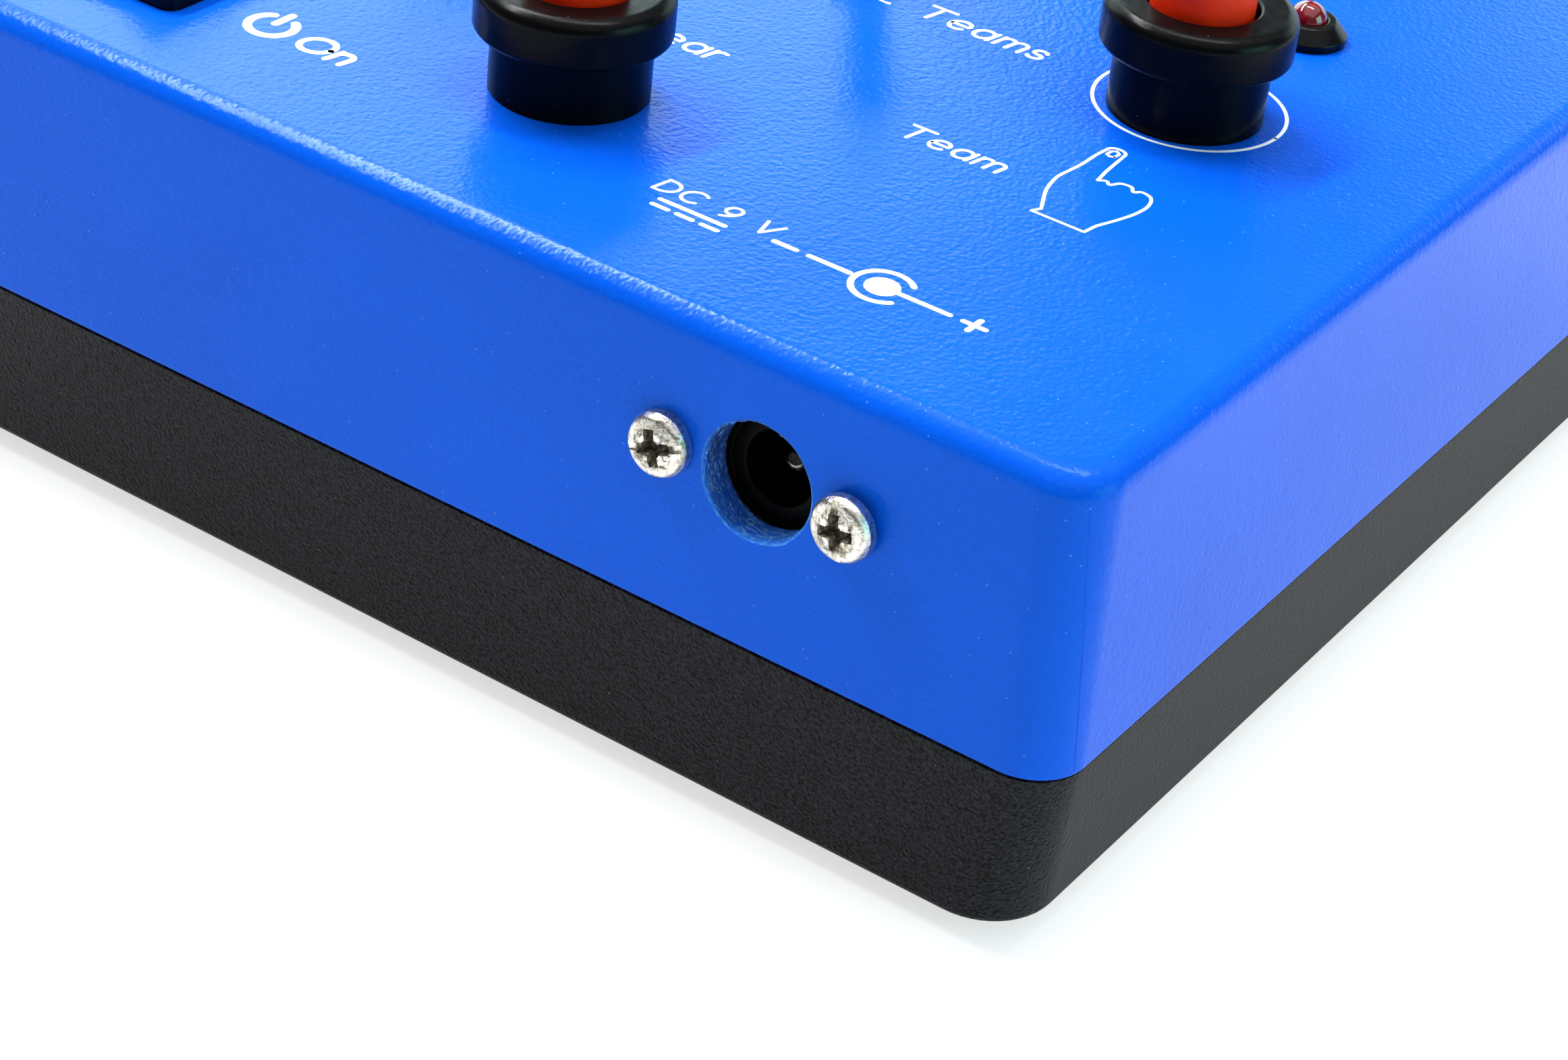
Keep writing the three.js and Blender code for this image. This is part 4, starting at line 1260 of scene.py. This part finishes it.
def pointing_hand(x, y):
    """Strokes of a hand that points along +Y, with its fingertip at (x, y)."""
    outline = [
        (-0.80, -0.60), (-0.95, -2.4), (-0.95, -4.6), (-1.10, -6.4), (-1.25, -8.4), (-0.75, -10.9),
        (0.15, -13.0), (0.75, -14.3),
    ]
    wrist = [(0.75, -14.3), (0.35, -15.2), (5.45, -15.25), (5.65, -13.6)]
    far = [
        (5.65, -13.6), (6.40, -11.4), (6.95, -9.3), (7.05, -7.4), (6.50, -5.9), (5.45, -5.5),
        (4.85, -6.0), (4.30, -5.35), (3.30, -5.45), (2.72, -6.35), (2.20, -5.95), (1.55, -6.35),
    ]
    finger = [(1.55, -6.35), (1.25, -4.4), (1.05, -2.2), (0.92, -0.6)]
    tip = arc(0.06, -0.62, 0.87, 0.66, 0, 180, 12)
    nail = [
        (0.42, -1.55), (0.45, -0.75), (0.05, -0.45), (-0.34, -0.75), (-0.36, -1.55), (0.03, -1.72),
        (0.42, -1.55),
    ]
    strokes = [smooth_line(outline), wrist[:2], wrist[1:3], wrist[2:]]
    strokes += [smooth_line(far), finger, tip, nail]
    return shifted(strokes, x, y)


def smooth_line(points, steps=6):
    """A smooth open curve through points."""
    padded = [points[0], *points, points[-1]]
    result = []
    for i in range(len(points) - 1):
        p = [Vector(padded[i + k]) for k in range(4)]
        for step in range(steps):
            t = step / steps
            point = 0.5 * (
                2 * p[1]
                + (p[2] - p[0]) * t
                + (2 * p[0] - 5 * p[1] + 4 * p[2] - p[3]) * t * t
                + (3 * p[1] - p[0] - 3 * p[2] + p[3]) * t**3
            )
            result.append(tuple(point))
    return result + [tuple(points[-1])]


def build_marks():
    """White printing: rings and hands at the players' buttons, labels and supply symbols."""
    ring_radius, small, large, fine, bold = 8.66, 2.5, 2.75, 0.37, 0.42
    near_row, far_row, far_x = FRONT + 39.2, FRONT + 61.0, 25.6
    for side, sign in SIDES:
        at = centre(f"{side}_button_body")
        ring = arc(at.x, at.y + 1.0, ring_radius, ring_radius, 0, 360, 120)
        print_marks(f"ring_{side}", [ring], 0.34)
        print_marks(f"hand_{side}", pointing_hand(at.x - 0.15, at.y - 11.2), 0.30)
        label_x = at.x - 15.7 if sign > 0 else at.x + 9.0
        label(f"label_team_{side}", "Team", small, label_x, near_row + 0.1, fine)
    label("label_clear", "Clear", large, 0.2, near_row, bold, "middle")
    label("label_two", "2 Teams", large, far_x, far_row, bold, "right")
    label("label_one", "1 Team", large, -far_x, far_row, bold)
    build_supply_marks()
    build_power_mark()


def build_supply_marks():
    """The direct-current sign, the voltage and the inlet's polarity."""
    x, y = JACK_X, FRONT + 15.95
    label("label_supply", "DC 9 V", 2.10, x - 22.6, y + 0.30, 0.31)
    bars_x = x - 20.9
    bars = [[(bars_x, y - 0.85), (x - 14.5, y - 0.85)]]
    for k in range(3):
        start = bars_x + 2.45 * k
        bars.append([(start, y - 1.95), (start + 1.5, y - 1.95)])
    print_marks("direct_current_sign", bars, 0.50)
    dashes = ((-10.2, -8.1), (-6.8, -2.9), (1.2, 6.5), (7.8, 9.8))
    lines = [[(x + start, y), (x + end, y)] for start, end in dashes]
    lines.append([(x + 8.8, y - 1.0), (x + 8.8, y + 1.0)])
    lines.append(arc(x + 0.2, y, 2.55, 2.55, 42, 318, 48))
    print_marks("polarity_sign", lines, 0.55)
    print_marks("polarity_dot", [[(x + 0.18, y), (x + 0.22, y)]], 3.0)


def build_power_mark():
    """A broken ring with a bar, and the word On, beside the rocker."""
    x, y = -25.4, FRONT + 16.4
    ring = arc(x, y, 2.1, 2.1, 125, 415, 40)
    print_marks("power_sign", [ring, [(x, y + 0.5), (x, y + 2.7)]], 0.85)
    label("label_on", "On", 2.9, x + 3.6, y - 1.6, 0.62)


# ---------- what stays as it is in the CAD ----------
def paint_inner_nodes():
    """Materials for the CAD nodes that have no detailed piece."""
    kept = {
        "circuit_board": BOARD_PAINT,
        "logic_chip": MOULDED_PAINT,
        "voltage_regulator": MOULDED_PAINT,
        "filter_capacitor": BEZEL_PAINT,
        "sounder": MOULDED_PAINT,
    }
    for name in BUTTON_NAMES:
        kept[f"{name}_button_nut"] = MOULDED_PAINT
        kept[f"{name}_button_contacts"] = MOULDED_PAINT
    for side, _ in SIDES:
        kept[f"rocker_terminal_{side}"] = BRASS_PAINT
        kept[f"jack_nut_{side}"] = CASE_SCREW_PAINT
    for k in CORNERS:
        kept[f"board_screw_{k}"] = CASE_SCREW_PAINT
    for node, paint in kept.items():
        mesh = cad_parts[node].data
        mesh.materials.clear()
        mesh.materials.append(paint)


# ---------- camera, floor and light ----------
def build_camera():
    """The photograph's camera: above the front right corner, looking down with a slight roll."""
    azimuth, elevation, roll = math.radians(30.41), math.radians(32.725), math.radians(7.20)
    back = Vector((
        math.sin(azimuth) * math.cos(elevation),
        -math.cos(azimuth) * math.cos(elevation),
        math.sin(elevation),
    ))
    right = (-back).cross(Vector((0, 0, 1))).normalized()
    up = right.cross(-back)
    right, up = (
        math.cos(roll) * right + math.sin(roll) * up,
        -math.sin(roll) * right + math.cos(roll) * up,
    )
    data = bpy.data.cameras.new("camera")
    data.sensor_width = 36
    data.lens = 79.41
    data.shift_x = -0.02035
    data.shift_y = -0.00685
    data.clip_start = 0.01
    data.clip_end = 20
    camera = linked("camera", data)
    turn = Matrix((right, up, back)).transposed().to_4x4()
    eye = Vector((156.96, FRONT - 191.42, PANEL + 131.12))
    camera.matrix_world = Matrix.Translation(eye * MM) @ turn
    scene.camera = camera


def build_floor():
    reach = 3000
    floor = box_mesh("floor", (-reach, -reach, -20), (reach, reach, 0))
    floor.data.materials.append(pale_floor())


def softbox(name, at, aim, size, power, color=(1, 1, 1)):
    """A rectangular area light, in metres, turned towards a point."""
    data = bpy.data.lights.new(name, "AREA")
    data.shape = "RECTANGLE"
    data.size, data.size_y = size
    data.energy = power
    data.color = color
    light = linked(name, data)
    light.location = at
    light.rotation_mode = "QUATERNION"
    light.rotation_quaternion = (Vector(aim) - Vector(at)).to_track_quat("-Z", "Y")


def build_light():
    world = bpy.data.worlds.new("studio")
    world.use_nodes = True
    background = world.node_tree.nodes["Background"]
    background.inputs["Color"].default_value = (0.9, 0.95, 1, 1)
    background.inputs["Strength"].default_value = 0.16
    scene.world = world
    cool, cyan = (0.78, 1.0, 1.0), (0.40, 1.0, 0.95)
    softbox("overhead", (0.25, 0.05, 1.3), (0.05, 0, 0), (2.4, 1.9), 14)
    softbox("strip", (-0.80, 0.10, 1.15), (0, 0, 0), (1.2, 0.10), 30)
    softbox("corner_strip", (-0.02, 0.24, 1.25), (0, 0, 0), (0.75, 0.08), 9)
    softbox("backdrop", (-1.57, 1.00, 0.60), (0, 0, 0.1), (2.1, 1.0), 26, cool)
    softbox("slope", (-1.35, 0.60, 1.05), (0, 0, 0.05), (1.3, 0.5), 5, cool)
    softbox("rear", (0.15, 1.9, 0.5), (0, 0, 0.1), (1.6, 0.8), 9, cool)
    softbox("right", (1.4, 0.2, 0.45), (0, 0, 0.03), (0.9, 0.8), 10, cyan)
    scene.view_settings.view_transform = "Standard"
    scene.view_settings.look = "None"


build_camera()
build_shell()
build_mould_lines()
build_hole_burrs()
build_tray()
build_feet()
build_jack_screws()
build_case_screws()
for button in BUTTON_NAMES:
    build_button(button)
for lamp_side, _ in SIDES:
    build_lamp(lamp_side)
build_rocker()
build_selector()
build_inlet()
build_marks()
paint_inner_nodes()
build_floor()
build_light()
